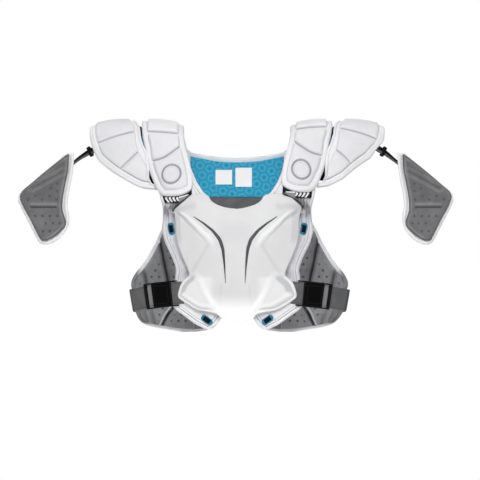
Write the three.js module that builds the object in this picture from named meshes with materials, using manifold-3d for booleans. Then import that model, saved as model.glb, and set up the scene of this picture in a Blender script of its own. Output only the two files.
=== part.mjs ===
// Lacrosse shoulder pads in their worn form: a chest plate on a padded vest, a back shell whose wings come
// round the sides, moulded strap caps and shoulder caps over the shoulders, and an arm pad on each side.
// Millimetres, +Z up, the front faces -Y, +X is to the right seen from the front.
// The origin is where the pads sit: midway between the shoulders, on the ridge of the body.
import * as THREE from "three";
import { mergeVertices } from "three/addons/utils/BufferGeometryUtils.js";
import Module from "manifold-3d";

const wasm = await Module();
wasm.setup();

// Driving dimensions of the body that the pads fit
const CHEST_DEPTH = 108;
const BACK_DEPTH = 102;
const TORSO_HALF_WIDTH = 177;
const SHOULDER_DROP = 235;
const HEM_DROP = 352;
const WAIST_TAPER = 0.08;
const SIDE_TAPER = 0.1;
const TORSO_ROUNDNESS = 2.5;
const TORSO_STEP = 4;
const NECK_ROLL = 8;
const NECK_ROLL_REACH = { inner: 93, outer: 164 };

// Layers, as distances out from the body
const VEST = { inside: 0, outside: 5 };
const LINER = { inside: 0, outside: 4 };
const BACK_SHELL = { inside: 4.4, outside: 9.4 };
const ELASTIC = { inside: 5.4, outside: 7.4 };
const STRAP_CAP_BASE = { inside: 8.2, outside: 15 };
const LABEL = { inside: -1.1, outside: -0.4 };
const PLATE_THICKNESS = 4;
const CLEARANCE = 0.35;
const RIDGE_ARCH = 0.4;

// Other driving dimensions
const SHOULDER_ARCH_DROP = 160;
const SHOULDER_ARCH_DEPTH = 72;
const CAP_CREST = 19;
const CAP_THICKNESS = 9;
const STRAP_WIDTH = 38.5;
const EYELET = { length: 21.7, width: 11, slotLength: 13.5, slotWidth: 8 };
const PRISM_REACH = 400;

const SIDES = [
  { name: "left", sign: -1 },
  { name: "right", sign: 1 },
];

const MATERIALS = {
  shell: { color: 0xe8e8ec, roughness: 0.55 },
  plate: { color: 0xeeeeee, roughness: 0.35 },
  fabric: { color: 0xe2e2e6, roughness: 0.85 },
  greyLiner: { color: 0x6b6c6e, roughness: 0.9 },
  blueLiner: { color: 0x1f8cb4, roughness: 0.85 },
  accent: { color: 0x4c4d50, roughness: 0.5 },
  elastic: { color: 0x636466, roughness: 0.9 },
  black: { color: 0x141414, roughness: 0.6 },
  label: { color: 0xf4f4f4, roughness: 0.8 },
};

const radians = THREE.MathUtils.degToRad;
const clamp = THREE.MathUtils.clamp;
const lerp = THREE.MathUtils.lerp;

// Solids

// A closed solid between two matching sets of points. Each face is a list of point numbers, and every edge
// that only one face has gets a wall.
function slab(outer, inner, faces) {
  const corners = [];
  const edges = new Map();
  for (const face of faces) {
    for (let i = 1; i + 1 < face.length; i += 1) {
      const [a, b, c] = [face[0], face[i], face[i + 1]];
      corners.push(outer[a], outer[b], outer[c], inner[a], inner[c], inner[b]);
    }
    face.forEach((a, i) => {
      const b = face[(i + 1) % face.length];
      if (!edges.delete(`${b} ${a}`)) edges.set(`${a} ${b}`, [a, b]);
    });
  }
  for (const [a, b] of edges.values()) {
    corners.push(outer[b], outer[a], inner[a], outer[b], inner[a], inner[b]);
  }
  return facingOut(corners);
}

// A geometry of triangle corners, turned round if its faces point inwards.
function facingOut(corners) {
  let volume = 0;
  for (let i = 0; i < corners.length; i += 3) {
    volume += corners[i].dot(new THREE.Vector3().crossVectors(corners[i + 1], corners[i + 2]));
  }
  if (volume < 0) corners.reverse();
  return new THREE.BufferGeometry().setFromPoints(corners);
}

// The four-sided faces of a grid of points, stored row by row.
function gridFaces(rows, columns) {
  const faces = [];
  for (let r = 0; r + 1 < rows; r += 1) {
    for (let c = 0; c + 1 < columns; c += 1) {
      const a = r * columns + c;
      faces.push([a, a + 1, a + columns + 1, a + columns]);
    }
  }
  return faces;
}

// A closed sheet over two lists of stations; place(station, station, layer) gives a point of one layer.
function sheet(rowStations, columnStations, layer, place) {
  const side = (out) => rowStations.flatMap((r) => columnStations.map((c) => place(r, c, out)));
  return slab(side(layer.outside), side(layer.inside), gridFaces(rowStations.length, columnStations.length));
}

function solid(geometry) {
  const bare = new THREE.BufferGeometry().setAttribute("position", geometry.getAttribute("position"));
  if (geometry.index) bare.setIndex(geometry.index);
  const merged = mergeVertices(bare, 1e-4);
  const vertProperties = merged.getAttribute("position").array;
  return new wasm.Manifold(new wasm.Mesh({ numProp: 3, vertProperties, triVerts: merged.index.array }));
}

function geometryOf(made) {
  const { vertProperties, triVerts } = made.getMesh();
  const geometry = new THREE.BufferGeometry();
  geometry.setAttribute("position", new THREE.BufferAttribute(vertProperties, 3));
  return geometry.setIndex(new THREE.BufferAttribute(triVerts, 1));
}

// A front outline, drawn in x and z, pushed right through the pads.
function frontPrism(shape) {
  const depth = 2 * PRISM_REACH;
  const extruded = new THREE.ExtrudeGeometry(shape, { depth, bevelEnabled: false, curveSegments: 4 });
  return solid(extruded.translate(0, 0, -PRISM_REACH).rotateX(Math.PI / 2));
}

// Evenly spaced stations from one value to another.
function stations(from, to, steps) {
  return Array.from({ length: steps + 1 }, (_, i) => lerp(from, to, i / steps));
}

// A table's named columns read at a place along its first column, straight between rows.
function tableAt(table, key, at) {
  const next = table.findIndex((row) => row[key] >= at);
  if (next <= 0) return table[next === 0 ? 0 : table.length - 1];
  const [low, high] = [table[next - 1], table[next]];
  const share = (at - low[key]) / (high[key] - low[key]);
  return Object.fromEntries(Object.keys(low).map((name) => [name, lerp(low[name], high[name], share)]));
}

// The body that the pads fit

// The share of the way from the fullest part of the chest down to the hem.
const fallTo = (z) => clamp((-SHOULDER_DROP - z) / (HEM_DROP - SHOULDER_DROP), 0, 1);

// How far the torso's outline has come in at this height, from 1 at the chest to 0 on the shoulder ridge.
function fullness(z, out) {
  const rise = clamp((z + SHOULDER_DROP) / (SHOULDER_DROP + out), 0, 1);
  return Math.sqrt(1 - rise * rise) * (1 - WAIST_TAPER * fallTo(z) ** 2);
}

// The torso's half width at this height: the sides come in towards the hem.
function halfWidth(z, out) {
  return (TORSO_HALF_WIDTH + out) * (1 - SIDE_TAPER * fallTo(z));
}

// How far the ridge of the shoulder rolls down towards the neck.
function neckRoll(x, z, out) {
  const { inner, outer } = NECK_ROLL_REACH;
  const share = clamp((outer - Math.abs(x)) / (outer - inner), 0, 1);
  const rise = clamp((z + SHOULDER_DROP) / (SHOULDER_DROP + out), 0, 1);
  return NECK_ROLL * share ** 2 * rise ** 8;
}

// The soft back and sides don't lie alike on both sides: the right one stands wider than the left one. Each
// place goes out by its side's share, its height's share and the widening at its depth.
const LIE_SHARE = { left: 0.3, right: 1 };
const LIE_HEIGHTS = [
  { z: -330, share: 0.5 },
  { z: -312, share: 1 },
  { z: -175, share: 1 },
  { z: -165, share: 0.8 },
  { z: -152, share: 0.25 },
  { z: -140, share: 0 },
];
const LIE_DEPTHS = [
  { y: -112, widening: 0.004 },
  { y: -95, widening: 0.018 },
  { y: -70, widening: 0.028 },
  { y: -40, widening: 0.05 },
  { y: 0, widening: 0.068 },
  { y: 60, widening: 0.07 },
];

function lie(point) {
  const { share } = tableAt(LIE_HEIGHTS, "z", point.z);
  const { widening } = tableAt(LIE_DEPTHS, "y", point.y);
  point.x *= 1 + (point.x < 0 ? LIE_SHARE.left : LIE_SHARE.right) * share * widening;
  return point;
}

// A point round the torso: turn is 0 at the middle of the back, 90 at the side and 180 at the breastbone.
function torsoPoint(turn, z, out) {
  const power = 2 / TORSO_ROUNDNESS;
  const [sine, cosine] = [Math.sin(radians(turn)), Math.cos(radians(turn))];
  const depth = (cosine > 0 ? BACK_DEPTH : CHEST_DEPTH) + out;
  const x = halfWidth(z, out) * Math.sign(sine) * Math.abs(sine) ** power;
  const y = depth * Math.sign(cosine) * Math.abs(cosine) ** power * fullness(z, out);
  return lie(new THREE.Vector3(x, y, z - neckRoll(x, z, out)));
}

// A point on the front (facing -1) or the back (facing 1) straight behind a place in the front view.
function bodyPoint(facing, x, z, out) {
  const across = Math.min(Math.abs(x) / halfWidth(z, out), 1);
  const round = (1 - across ** TORSO_ROUNDNESS) ** (1 / TORSO_ROUNDNESS);
  const depth = (facing < 0 ? CHEST_DEPTH : BACK_DEPTH) + out;
  return lie(new THREE.Vector3(x, facing * depth * round * fullness(z, out), z - neckRoll(x, z, out)));
}

// The height on the arch over the shoulder: arch is 0 on the ridge and 90 at the fullest part of the chest,
// and below that each degree more is one even step down the torso.
function archHeight(arch, out) {
  if (Math.abs(arch) > 90) return -SHOULDER_DROP - TORSO_STEP * (Math.abs(arch) - 90);
  return (SHOULDER_DROP + out) * Math.cos(radians(arch)) - SHOULDER_DROP;
}

function archAt(z, out) {
  if (z < -SHOULDER_DROP) return 90 - (z + SHOULDER_DROP) / TORSO_STEP;
  return THREE.MathUtils.radToDeg(Math.acos(clamp((z + SHOULDER_DROP) / (SHOULDER_DROP + out), -1, 1)));
}

// The height a share of the way down from a top to a hem, in even steps of that arch.
function heightBetween(top, hem, share, out) {
  const start = Math.max(archAt(top, out), RIDGE_ARCH);
  return archHeight(lerp(start, archAt(hem, out), share), out);
}

// A point on that arch; positive angles go down the front and negative ones down the back.
function archPoint(x, arch, out) {
  return bodyPoint(arch > 0 ? -1 : 1, x, archHeight(arch, out), out);
}

// Front vest

// The right half of the vest's front outline, from the neck round the arm hole to the hem.
const VEST_OUTLINE = [
  { at: "neck, behind the plate", x: 0, z: -147 },
  { at: "neck corner", x: 42, z: -127 },
  { at: "neck edge beside the plate", x: 50, z: -114.5 },
  { at: "neck edge", x: 59.5, z: -106 },
  { at: "neck edge, rising", x: 70.5, z: -88.5 },
  { at: "neck edge under the cap", x: 79, z: -67.5 },
  { at: "inner end on the ridge", x: 106, z: 20 },
  { at: "outer end on the ridge", x: 126, z: 20 },
  { at: "arm hole under the cap", x: 138, z: -84 },
  { at: "arm hole", x: 135.5, z: -110 },
  { at: "arm hole, narrowing", x: 129, z: -134 },
  { at: "arm hole, narrowest", x: 128.5, z: -157 },
  { at: "side strip", x: 130.5, z: -171 },
  { at: "side strip, high", x: 125, z: -194 },
  { at: "side strip, middle", x: 112, z: -221 },
  { at: "side strip, waist", x: 105.5, z: -240 },
  { at: "side strip, low", x: 108.5, z: -262 },
  { at: "flap, outer corner", x: 111.5, z: -307 },
  { at: "flap, lower edge", x: 69, z: -339 },
  { at: "flap, low corner", x: 55, z: -344.5 },
  { at: "flap, tip", x: 46, z: -345 },
  { at: "flap, inner corner", x: 27, z: -325 },
  { at: "hem, behind the plate", x: 14, z: -305 },
];
const EYELETS = [
  { name: "upper", x: 115.5, z: -171, lean: 11 },
  { name: "lower", x: 52.5, z: -328.5, lean: 54 },
];

function mirroredShape(half) {
  const right = half.map(({ x, z }) => new THREE.Vector2(x, z));
  const left = half.filter(({ x }) => x > 0).map(({ x, z }) => new THREE.Vector2(-x, z));
  return new THREE.Shape([...right, ...left.reverse()]);
}

// A pill-shaped outline, centred on a place in the front view and leaning over by some degrees.
function pillShape(length, width, { x, z, lean }, sign) {
  const radius = width / 2;
  const reach = length / 2 - radius;
  const turn = radians(-sign * lean);
  const end = (way) => new THREE.Vector2(0, way * reach).rotateAround(new THREE.Vector2(), turn);
  const shape = new THREE.Shape();
  shape.absarc(sign * x + end(1).x, z + end(1).y, radius, turn, turn + Math.PI);
  shape.absarc(sign * x + end(-1).x, z + end(-1).y, radius, turn + Math.PI, turn + 2 * Math.PI);
  return shape;
}

// A layer over the whole front, from the shoulder ridge to below the hem.
function frontLayer(layer) {
  const columns = stations(-144, 144, 14);
  const arches = stations(RIDGE_ARCH, 90, 8);
  const heights = stations(-SHOULDER_DROP - 30, -HEM_DROP, 3);
  const rows = [...arches.map((arch) => (out) => archHeight(arch, out)), ...heights.map((z) => () => z)];
  return solid(sheet(rows, columns, layer, (height, x, out) => bodyPoint(-1, x, height(out), out)));
}

function frontVest() {
  let vest = frontLayer(VEST).intersect(frontPrism(mirroredShape(VEST_OUTLINE)));
  for (const { sign } of SIDES) {
    for (const place of EYELETS) {
      const [length, width] = [EYELET.length + 2 * CLEARANCE, EYELET.width + 2 * CLEARANCE];
      vest = vest.subtract(frontPrism(pillShape(length, width, place, sign)));
    }
  }
  return geometryOf(vest);
}

// An eyelet's ring stands a little proud of both faces of the vest, and its bar fills the slot.
function eyeletRing(place, sign) {
  const proud = { inside: VEST.inside - 0.4, outside: VEST.outside + 1.2 };
  const slot = { length: EYELET.slotLength + 2 * CLEARANCE, width: EYELET.slotWidth + 2 * CLEARANCE };
  const ring = frontLayer(proud)
    .intersect(frontPrism(pillShape(EYELET.length, EYELET.width, place, sign)))
    .subtract(frontPrism(pillShape(slot.length, slot.width, place, sign)));
  return geometryOf(ring);
}

function eyeletBar(place, sign) {
  const bar = frontPrism(pillShape(EYELET.slotLength, EYELET.slotWidth, place, sign));
  return geometryOf(frontLayer(VEST).intersect(bar));
}

// Chest plate

// The right half of the plate's points: place in the front view, and how far its face stands off the body.
const PLATE_POINTS = {
  neckMiddle: { x: 0, z: -135.5, out: 14 },
  neckSide: { x: 24, z: -132.5, out: 14 },
  neckCurve: { x: 41, z: -125, out: 13.8 },
  neckEnd: { x: 49, z: -114.5, out: 13.5 },
  lobeTop: { x: 77, z: -109, out: 11.9 },
  lobeSide: { x: 98, z: -127.5, out: 11.9 },
  lobeCorner: { x: 110.5, z: -138, out: 12 },
  ridgeStart: { x: 99, z: -144, out: 13.5 },
  sideTop: { x: 108.5, z: -147, out: 11 },
  sideHigh: { x: 107, z: -160, out: 11 },
  sideMiddle: { x: 106, z: -189, out: 10.5 },
  sideLow: { x: 96, z: -218, out: 11.5 },
  notch: { x: 81, z: -250, out: 16 },
  wingTop: { x: 92, z: -259, out: 14.5 },
  wingShoulder: { x: 98, z: -267, out: 13.5 },
  wingTip: { x: 103, z: -285, out: 14 },
  wingCorner: { x: 101, z: -292, out: 14.5 },
  hemOuter: { x: 69, z: -312.5, out: 17 },
  hemInner: { x: 48, z: -314.5, out: 19 },
  hemStep: { x: 34, z: -318, out: 21 },
  hemCorner: { x: 26, z: -329, out: 25 },
  hemMiddle: { x: 0, z: -330, out: 27 },
  crestTop: { x: 0, z: -172, out: 23 },
  crestHigh: { x: 0, z: -209, out: 26 },
  crestLow: { x: 0, z: -263, out: 26 },
  crestEnd: { x: 0, z: -303, out: 22 },
  slashTop: { x: 75, z: -150, out: 18 },
  slashBend: { x: 44, z: -172, out: 22.5 },
  slashKnee: { x: 28, z: -191, out: 25.5 },
  slashHip: { x: 22, z: -209, out: 26.5 },
  slashLow: { x: 20, z: -263, out: 26 },
  slashEnd: { x: 30, z: -302, out: 21.5 },
  ridgeBend: { x: 66, z: -170, out: 20.5 },
  ridgeEnd: { x: 47, z: -197, out: 24.5 },
  spineBend: { x: 54, z: -277, out: 20.5 },
  spineEnd: { x: 34, z: -307, out: 22 },
};
const PLATE_FACES = [
  ["neckMiddle", "neckSide", "slashBend", "crestTop"],
  ["neckSide", "neckCurve", "slashBend"],
  ["neckCurve", "neckEnd", "slashBend"],
  ["neckEnd", "lobeTop", "slashTop", "slashBend"],
  ["lobeTop", "lobeSide", "ridgeStart", "slashTop"],
  ["lobeSide", "lobeCorner", "ridgeStart"],
  ["lobeCorner", "sideTop", "ridgeStart"],
  ["crestTop", "slashBend", "slashKnee", "crestHigh"],
  ["slashKnee", "slashHip", "crestHigh"],
  ["crestHigh", "slashHip", "slashLow", "crestLow"],
  ["crestLow", "slashLow", "slashEnd", "crestEnd"],
  ["crestEnd", "slashEnd", "hemCorner", "hemMiddle"],
  ["slashEnd", "hemStep", "hemCorner"],
  ["slashTop", "ridgeStart", "ridgeBend", "slashBend"],
  ["slashBend", "ridgeBend", "ridgeEnd", "slashKnee"],
  ["slashKnee", "ridgeEnd", "slashHip"],
  ["ridgeEnd", "notch", "spineBend"],
  ["ridgeEnd", "spineBend", "slashLow", "slashHip"],
  ["slashLow", "spineBend", "slashEnd"],
  ["spineBend", "spineEnd", "slashEnd"],
  ["spineEnd", "hemStep", "slashEnd"],
  ["ridgeStart", "sideTop", "sideHigh", "ridgeBend"],
  ["sideHigh", "sideMiddle", "ridgeEnd", "ridgeBend"],
  ["sideMiddle", "sideLow", "ridgeEnd"],
  ["sideLow", "notch", "ridgeEnd"],
  ["notch", "wingTop", "spineBend"],
  ["wingTop", "wingShoulder", "wingTip", "spineBend"],
  ["wingTip", "wingCorner", "hemOuter", "spineBend"],
  ["hemOuter", "hemInner", "spineEnd", "spineBend"],
  ["hemInner", "hemStep", "spineEnd"],
];
// The dark slash inlaid beside the crest: its middle line and half width, from the upper tip down.
const SLASH = [
  { x: 75.5, z: -149.5, half: 0.6 },
  { x: 58, z: -161, half: 1.6 },
  { x: 42, z: -174, half: 2.6 },
  { x: 30, z: -189, half: 3.4 },
  { x: 24.5, z: -206, half: 3 },
  { x: 22, z: -232, half: 1.8 },
  { x: 20, z: -265, half: 0.6 },
];

function plateSolid() {
  const names = Object.keys(PLATE_POINTS);
  const half = names.length;
  const point = (sign, depth) => ({ x, z, out }) => bodyPoint(-1, sign * x, z, out - depth);
  const side = (depth) => [1, -1].flatMap((sign) => Object.values(PLATE_POINTS).map(point(sign, depth)));
  const onMiddle = (name) => PLATE_POINTS[name].x === 0;
  const left = (name) => names.indexOf(name) + (onMiddle(name) ? 0 : half);
  const rightFaces = PLATE_FACES.map((face) => face.map((name) => names.indexOf(name)));
  const leftFaces = PLATE_FACES.map((face) => face.map(left).reverse());
  return solid(slab(side(0), side(PLATE_THICKNESS), [...rightFaces, ...leftFaces]));
}

function slashShape(sign, grow) {
  const edge = (way) =>
    SLASH.map(({ x, z, half }, i) => {
      const [before, after] = [SLASH[Math.max(i - 1, 0)], SLASH[Math.min(i + 1, SLASH.length - 1)]];
      const along = new THREE.Vector2(after.x - before.x, after.z - before.z).normalize();
      const reach = way * (half + grow);
      return new THREE.Vector2(sign * (x - along.y * reach), z + along.x * reach);
    });
  return new THREE.Shape([...edge(1), ...edge(-1).reverse()]);
}

function chestPlate() {
  const slots = SIDES.map(({ sign }) => frontPrism(slashShape(sign, CLEARANCE)));
  return geometryOf(slots.reduce((plate, slot) => plate.subtract(slot), plateSolid()));
}

function plateSlash(sign) {
  return geometryOf(plateSolid().intersect(frontPrism(slashShape(sign, 0))));
}

// Chevron elastics, between the strap caps and the plate
const ELASTIC_OUTLINE = [
  { x: 80, z: -88 },
  { x: 131, z: -88 },
  { x: 129.5, z: -113 },
  { x: 125, z: -127 },
  { x: 119, z: -143 },
  { x: 109, z: -144 },
  { x: 96, z: -134 },
  { x: 78, z: -114 },
];

function chevronElastic(sign) {
  const shape = new THREE.Shape(ELASTIC_OUTLINE.map(({ x, z }) => new THREE.Vector2(sign * x, z)));
  return geometryOf(frontLayer(ELASTIC).intersect(frontPrism(shape)));
}

// Strap caps, over the shoulders

// Sections along the strap from its front end, over the ridge, to its back end. The arch angle may differ
// between the inner and the outer edge, lift is how high the moulded pad stands on its flange.
const STRAP_CAP_SECTIONS = [
  { innerArch: 60.3, outerArch: 60.3, inner: 107, outer: 126, lift: 0 },
  { innerArch: 59.5, outerArch: 59.5, inner: 94, outer: 131, lift: 0 },
  { innerArch: 57.5, outerArch: 57.5, inner: 80, outer: 138.5, lift: 0 },
  { innerArch: 55.5, outerArch: 55.5, inner: 77.5, outer: 142.5, lift: 0.5 },
  { innerArch: 53.5, outerArch: 53.5, inner: 77, outer: 145.5, lift: 3.5 },
  { innerArch: 49, outerArch: 51, inner: 79, outer: 149.5, lift: 4 },
  { innerArch: 34.2, outerArch: 47.5, inner: 88.8, outer: 152.7, lift: 3.5 },
  { innerArch: 32.2, outerArch: 45.5, inner: 89.8, outer: 154.7, lift: 1 },
  { innerArch: 30.2, outerArch: 43.5, inner: 90.9, outer: 156.2, lift: 3.5 },
  { innerArch: 26.5, outerArch: 31.5, inner: 92, outer: 161.7, lift: 4 },
  { innerArch: 24, outerArch: 24, inner: 92.5, outer: 164, lift: 3.5 },
  { innerArch: 22, outerArch: 22, inner: 93, outer: 164.5, lift: 1 },
  { innerArch: 20, outerArch: 20, inner: 93, outer: 164.5, lift: 3.5 },
  { innerArch: 9, outerArch: 9, inner: 93, outer: 165.5, lift: 4 },
  { innerArch: 1, outerArch: 1, inner: 93, outer: 165.5, lift: 4 },
  { innerArch: -8, outerArch: -8, inner: 93, outer: 165, lift: 4 },
  { innerArch: -17, outerArch: -17, inner: 93, outer: 163, lift: 3.5 },
  { innerArch: -19, outerArch: -19, inner: 93, outer: 163, lift: 1 },
  { innerArch: -21, outerArch: -21, inner: 93, outer: 162, lift: 3.5 },
  { innerArch: -34, outerArch: -34, inner: 92, outer: 158, lift: 4 },
  { innerArch: -44, outerArch: -44, inner: 93, outer: 152, lift: 3.5 },
  { innerArch: -46, outerArch: -46, inner: 95, outer: 149, lift: 0.5 },
  { innerArch: -48, outerArch: -48, inner: 102, outer: 141, lift: 0 },
];
// Across a cap: a flat flange at each edge, and the moulded pad's crown between.
const STRAP_CROWN = [
  { share: 0, crown: 0 },
  { share: 0.11, crown: 0 },
  { share: 0.17, crown: 0.9 },
  { share: 0.5, crown: 1.15 },
  { share: 0.83, crown: 0.9 },
  { share: 0.89, crown: 0 },
  { share: 1, crown: 0 },
];
// Over the back the caps clear the back shell, by rising this much before the ridge.
const STRAP_BACK_LIFT = 3.2;
const STRAP_LIFT_ARCH = 18;

function strapCap(sign) {
  return sheet(STRAP_CAP_SECTIONS, STRAP_CROWN, STRAP_CAP_BASE, (section, { share, crown }, out) => {
    const arch = lerp(section.innerArch, section.outerArch, share);
    const pad = out === STRAP_CAP_BASE.outside ? section.lift * crown : 0;
    const backLift = STRAP_BACK_LIFT * clamp(1 - arch / STRAP_LIFT_ARCH, 0, 1);
    return archPoint(sign * lerp(section.inner, section.outer, share), arch, out + pad + backLift);
  });
}

// Shoulder caps, outside the strap caps

// A point on the cap's own arch, which narrows and drops towards the arm.
const CAP_INNER = 150;
const CAP_OUTER = 257;
const CAP_NARROWING = 0.55;
const CAP_CREST_FALL = 10;

function shoulderPoint(x, arch, out) {
  const share = clamp((x - CAP_INNER) / (CAP_OUTER - CAP_INNER), 0, 1);
  const depth = (SHOULDER_ARCH_DEPTH + out) * (1 - CAP_NARROWING * share * share);
  const crest = CAP_CREST - CAP_CREST_FALL * share ** 3;
  const drop = SHOULDER_ARCH_DROP * (1 - Math.cos(radians(arch)));
  return new THREE.Vector3(x, -depth * Math.sin(radians(arch)), crest + out * Math.cos(radians(arch)) - drop);
}

// Fan-like sections of the front half, from the ridge down to the front tip; the back half mirrors them.
const CAP_SECTIONS = [
  { innerX: 175, innerArch: 0, outerX: 257, outerArch: 0, lift: 3.5 },
  { innerX: 174.5, innerArch: 8, outerX: 258, outerArch: 10, lift: 3.5 },
  { innerX: 173.5, innerArch: 16, outerX: 257.5, outerArch: 21, lift: 3.5 },
  { innerX: 170.5, innerArch: 28, outerX: 252.5, outerArch: 38, lift: 3 },
  { innerX: 169.5, innerArch: 30.5, outerX: 251, outerArch: 40.5, lift: 0.5 },
  { innerX: 168.5, innerArch: 33, outerX: 249.5, outerArch: 43, lift: 3 },
  { innerX: 164.3, innerArch: 43, outerX: 242, outerArch: 51.2, lift: 3.5 },
  { innerX: 162, innerArch: 48, outerX: 226, outerArch: 58.4, lift: 3 },
  { innerX: 161, innerArch: 50, outerX: 221, outerArch: 60.7, lift: 0.5 },
  { innerX: 160, innerArch: 52, outerX: 215, outerArch: 62.7, lift: 3 },
  { innerX: 154.8, innerArch: 63, outerX: 190, outerArch: 69.5, lift: 2.5 },
  { innerX: 150, innerArch: 69, outerX: 168, outerArch: 74, lift: 0 },
  { innerX: 145.5, innerArch: 73, outerX: 148, outerArch: 75.7, lift: 0 },
];
const CAP_CROWN = [
  { share: 0, crown: 0 },
  { share: 0.08, crown: 0 },
  { share: 0.14, crown: 0.9 },
  { share: 0.5, crown: 1.1 },
  { share: 0.82, crown: 0.9 },
  { share: 0.88, crown: 0 },
  { share: 1, crown: 0 },
];

// The right cap's lower outer edge is pulled in and up.
const CAP_PULL = { inwards: 9, upwards: 8 };

function pulledIn(point) {
  const { smoothstep } = THREE.MathUtils;
  const inwards = smoothstep(point.x, 178, 222) * smoothstep(-point.z, 12, 38);
  const upwards = smoothstep(point.x, 150, 195) * smoothstep(-point.z, 20, 75);
  return new THREE.Vector3(-CAP_PULL.inwards * inwards, 0, CAP_PULL.upwards * upwards).add(point);
}

function shoulderCap(sign) {
  const back = CAP_SECTIONS.slice(1).map((section) => ({
    ...section,
    innerArch: -section.innerArch,
    outerArch: -section.outerArch,
  }));
  const sections = [...CAP_SECTIONS.slice().reverse(), ...back];
  const layer = { inside: -CAP_THICKNESS, outside: 0 };
  return sheet(sections, CAP_CROWN, layer, (section, { share, crown }, out) => {
    const arch = lerp(section.innerArch, section.outerArch, share);
    const lift = out === layer.outside ? section.lift * crown : 0;
    const point = shoulderPoint(lerp(section.innerX, section.outerX, share), arch, out + lift);
    if (sign > 0) return pulledIn(point);
    point.x *= sign;
    return point;
  });
}

// The black web under the slit between a strap cap and a shoulder cap
const WEB_LAYER = { inside: -15.6, outside: -13.6 };
const WEB_COLUMNS = [
  { x: 134, rise: 0 },
  { x: 152, rise: -0.4 },
  { x: 166, rise: -1 },
  { x: 175, rise: 3.4 },
  { x: 187, rise: 3.4 },
];
const WEB_ARCH = { back: -40, front: 66 };

function capWeb(sign) {
  const arches = stations(WEB_ARCH.back, WEB_ARCH.front, 11);
  return sheet(arches, WEB_COLUMNS, WEB_LAYER, (arch, { x, rise }, out) => {
    const point = shoulderPoint(x, arch, out + rise);
    point.x *= sign;
    return point;
  });
}

// Arm pads and the straps that hold them

// Sections of the arm pad's shell and of its liner, from the top down.
const ARM_SHELL_SECTIONS = [
  { z: -38, inner: 283, outer: 295 },
  { z: -50, inner: 283, outer: 310 },
  { z: -82, inner: 287, outer: 347 },
  { z: -106, inner: 292, outer: 376 },
  { z: -121, inner: 294, outer: 381 },
  { z: -129, inner: 294.5, outer: 378 },
  { z: -149, inner: 291.7, outer: 368 },
  { z: -163, inner: 292.5, outer: 361 },
  { z: -176, inner: 299, outer: 354.5 },
  { z: -190, inner: 312.5, outer: 347 },
  { z: -198, inner: 327, outer: 338 },
];
const ARM_LINER_SECTIONS = [
  { z: -40, inner: 291.5, outer: 296 },
  { z: -62, inner: 292.7, outer: 324 },
  { z: -93, inner: 298.4, outer: 360.5 },
  { z: -107, inner: 301, outer: 375.5 },
  { z: -114, inner: 302.3, outer: 377 },
  { z: -127, inner: 303.6, outer: 373 },
  { z: -137, inner: 303.2, outer: 368.5 },
  { z: -149, inner: 300, outer: 361.5 },
  { z: -158, inner: 297.3, outer: 357 },
  { z: -164, inner: 297.8, outer: 354 },
  { z: -172, inner: 304.2, outer: 350 },
  { z: -184, inner: 317.6, outer: 344 },
  { z: -191, inner: 331, outer: 338.5 },
];
const ARM_AXIS = { x: 328, y: -90 };
// Both arm pads hang a little to the left of where they would be if the pair were symmetrical.
const ARM_SWAY = -2.4;
const ARM_RADIUS = 98;
const ARM_SHELL = { inside: 0, outside: 7 };
const ARM_LINER = { inside: -6, outside: -0.4 };
const ARM_REACH = { inner: 280, outer: 384, top: -36, bottom: -200 };
// A rib runs across the liner, between these heights.
const ARM_RIB = [
  { z: ARM_REACH.top, rise: 0 },
  { z: -124, rise: 0 },
  { z: -127.5, rise: 2 },
  { z: -134.5, rise: 2 },
  { z: -138, rise: 0 },
  { z: ARM_REACH.bottom, rise: 0 },
];
const ARM_PLAIN = [ARM_RIB[0], ARM_RIB.at(-1)];

// An arm pad bends round the arm, whose upright axis is in front of it.
function armPoint(x, z, out) {
  const reach = ARM_RADIUS + out;
  const across = x - ARM_AXIS.x;
  return new THREE.Vector3(x, ARM_AXIS.y + Math.sqrt(reach * reach - across * across), z);
}

// A layer bent round the arm, cut to a table of sections; the rows may raise a rib on its inside.
function armPiece(sections, layer, rows, sign) {
  const columns = stations(ARM_REACH.inner, ARM_REACH.outer, 10);
  const bent = sheet(rows, columns, layer, ({ z, rise }, x, out) => {
    const point = armPoint(x, z, out === layer.inside ? out - rise : out);
    point.x = sign * point.x + ARM_SWAY;
    return point;
  });
  const innerEdge = sections.map(({ z, inner }) => new THREE.Vector2(sign * inner + ARM_SWAY, z));
  const outerEdge = sections.map(({ z, outer }) => new THREE.Vector2(sign * outer + ARM_SWAY, z));
  const outline = new THREE.Shape([...innerEdge, ...outerEdge.reverse()]);
  return geometryOf(solid(bent).intersect(frontPrism(outline)));
}

// The elastic strap from under the shoulder cap to the back of the arm pad, narrowing on its way. Its lower
// part shares the pad's sway.
const ARM_STRAP = [
  { x: 226, y: -19, z: -15, width: 10, sway: 0 },
  { x: 246, y: -13, z: -30, width: 10, sway: 0 },
  { x: 262, y: -5, z: -39, width: 9, sway: 0.5 },
  { x: 275, y: 4, z: -48, width: 6.5, sway: 1 },
  { x: 284, y: 8.2, z: -55, width: 6, sway: 1 },
  { x: 296, y: 11.8, z: -63, width: 6, sway: 1 },
];
const ARM_STRAP_THICKNESS = 2.6;
const ARM_BUCKLE = { length: 8, height: 15.5, depth: 7.4, setBack: 7.5, sway: 0.3 };

// The strap's frame at a row: along it, across its width, and out from its face.
function strapFrame(row) {
  const before = ARM_STRAP[Math.max(row - 1, 0)];
  const after = ARM_STRAP[Math.min(row + 1, ARM_STRAP.length - 1)];
  const along = new THREE.Vector3(after.x - before.x, after.y - before.y, after.z - before.z).normalize();
  const out = new THREE.Vector3().crossVectors(along, new THREE.Vector3(0, 0, 1)).normalize();
  return { along, out, across: new THREE.Vector3().crossVectors(out, along) };
}

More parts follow.
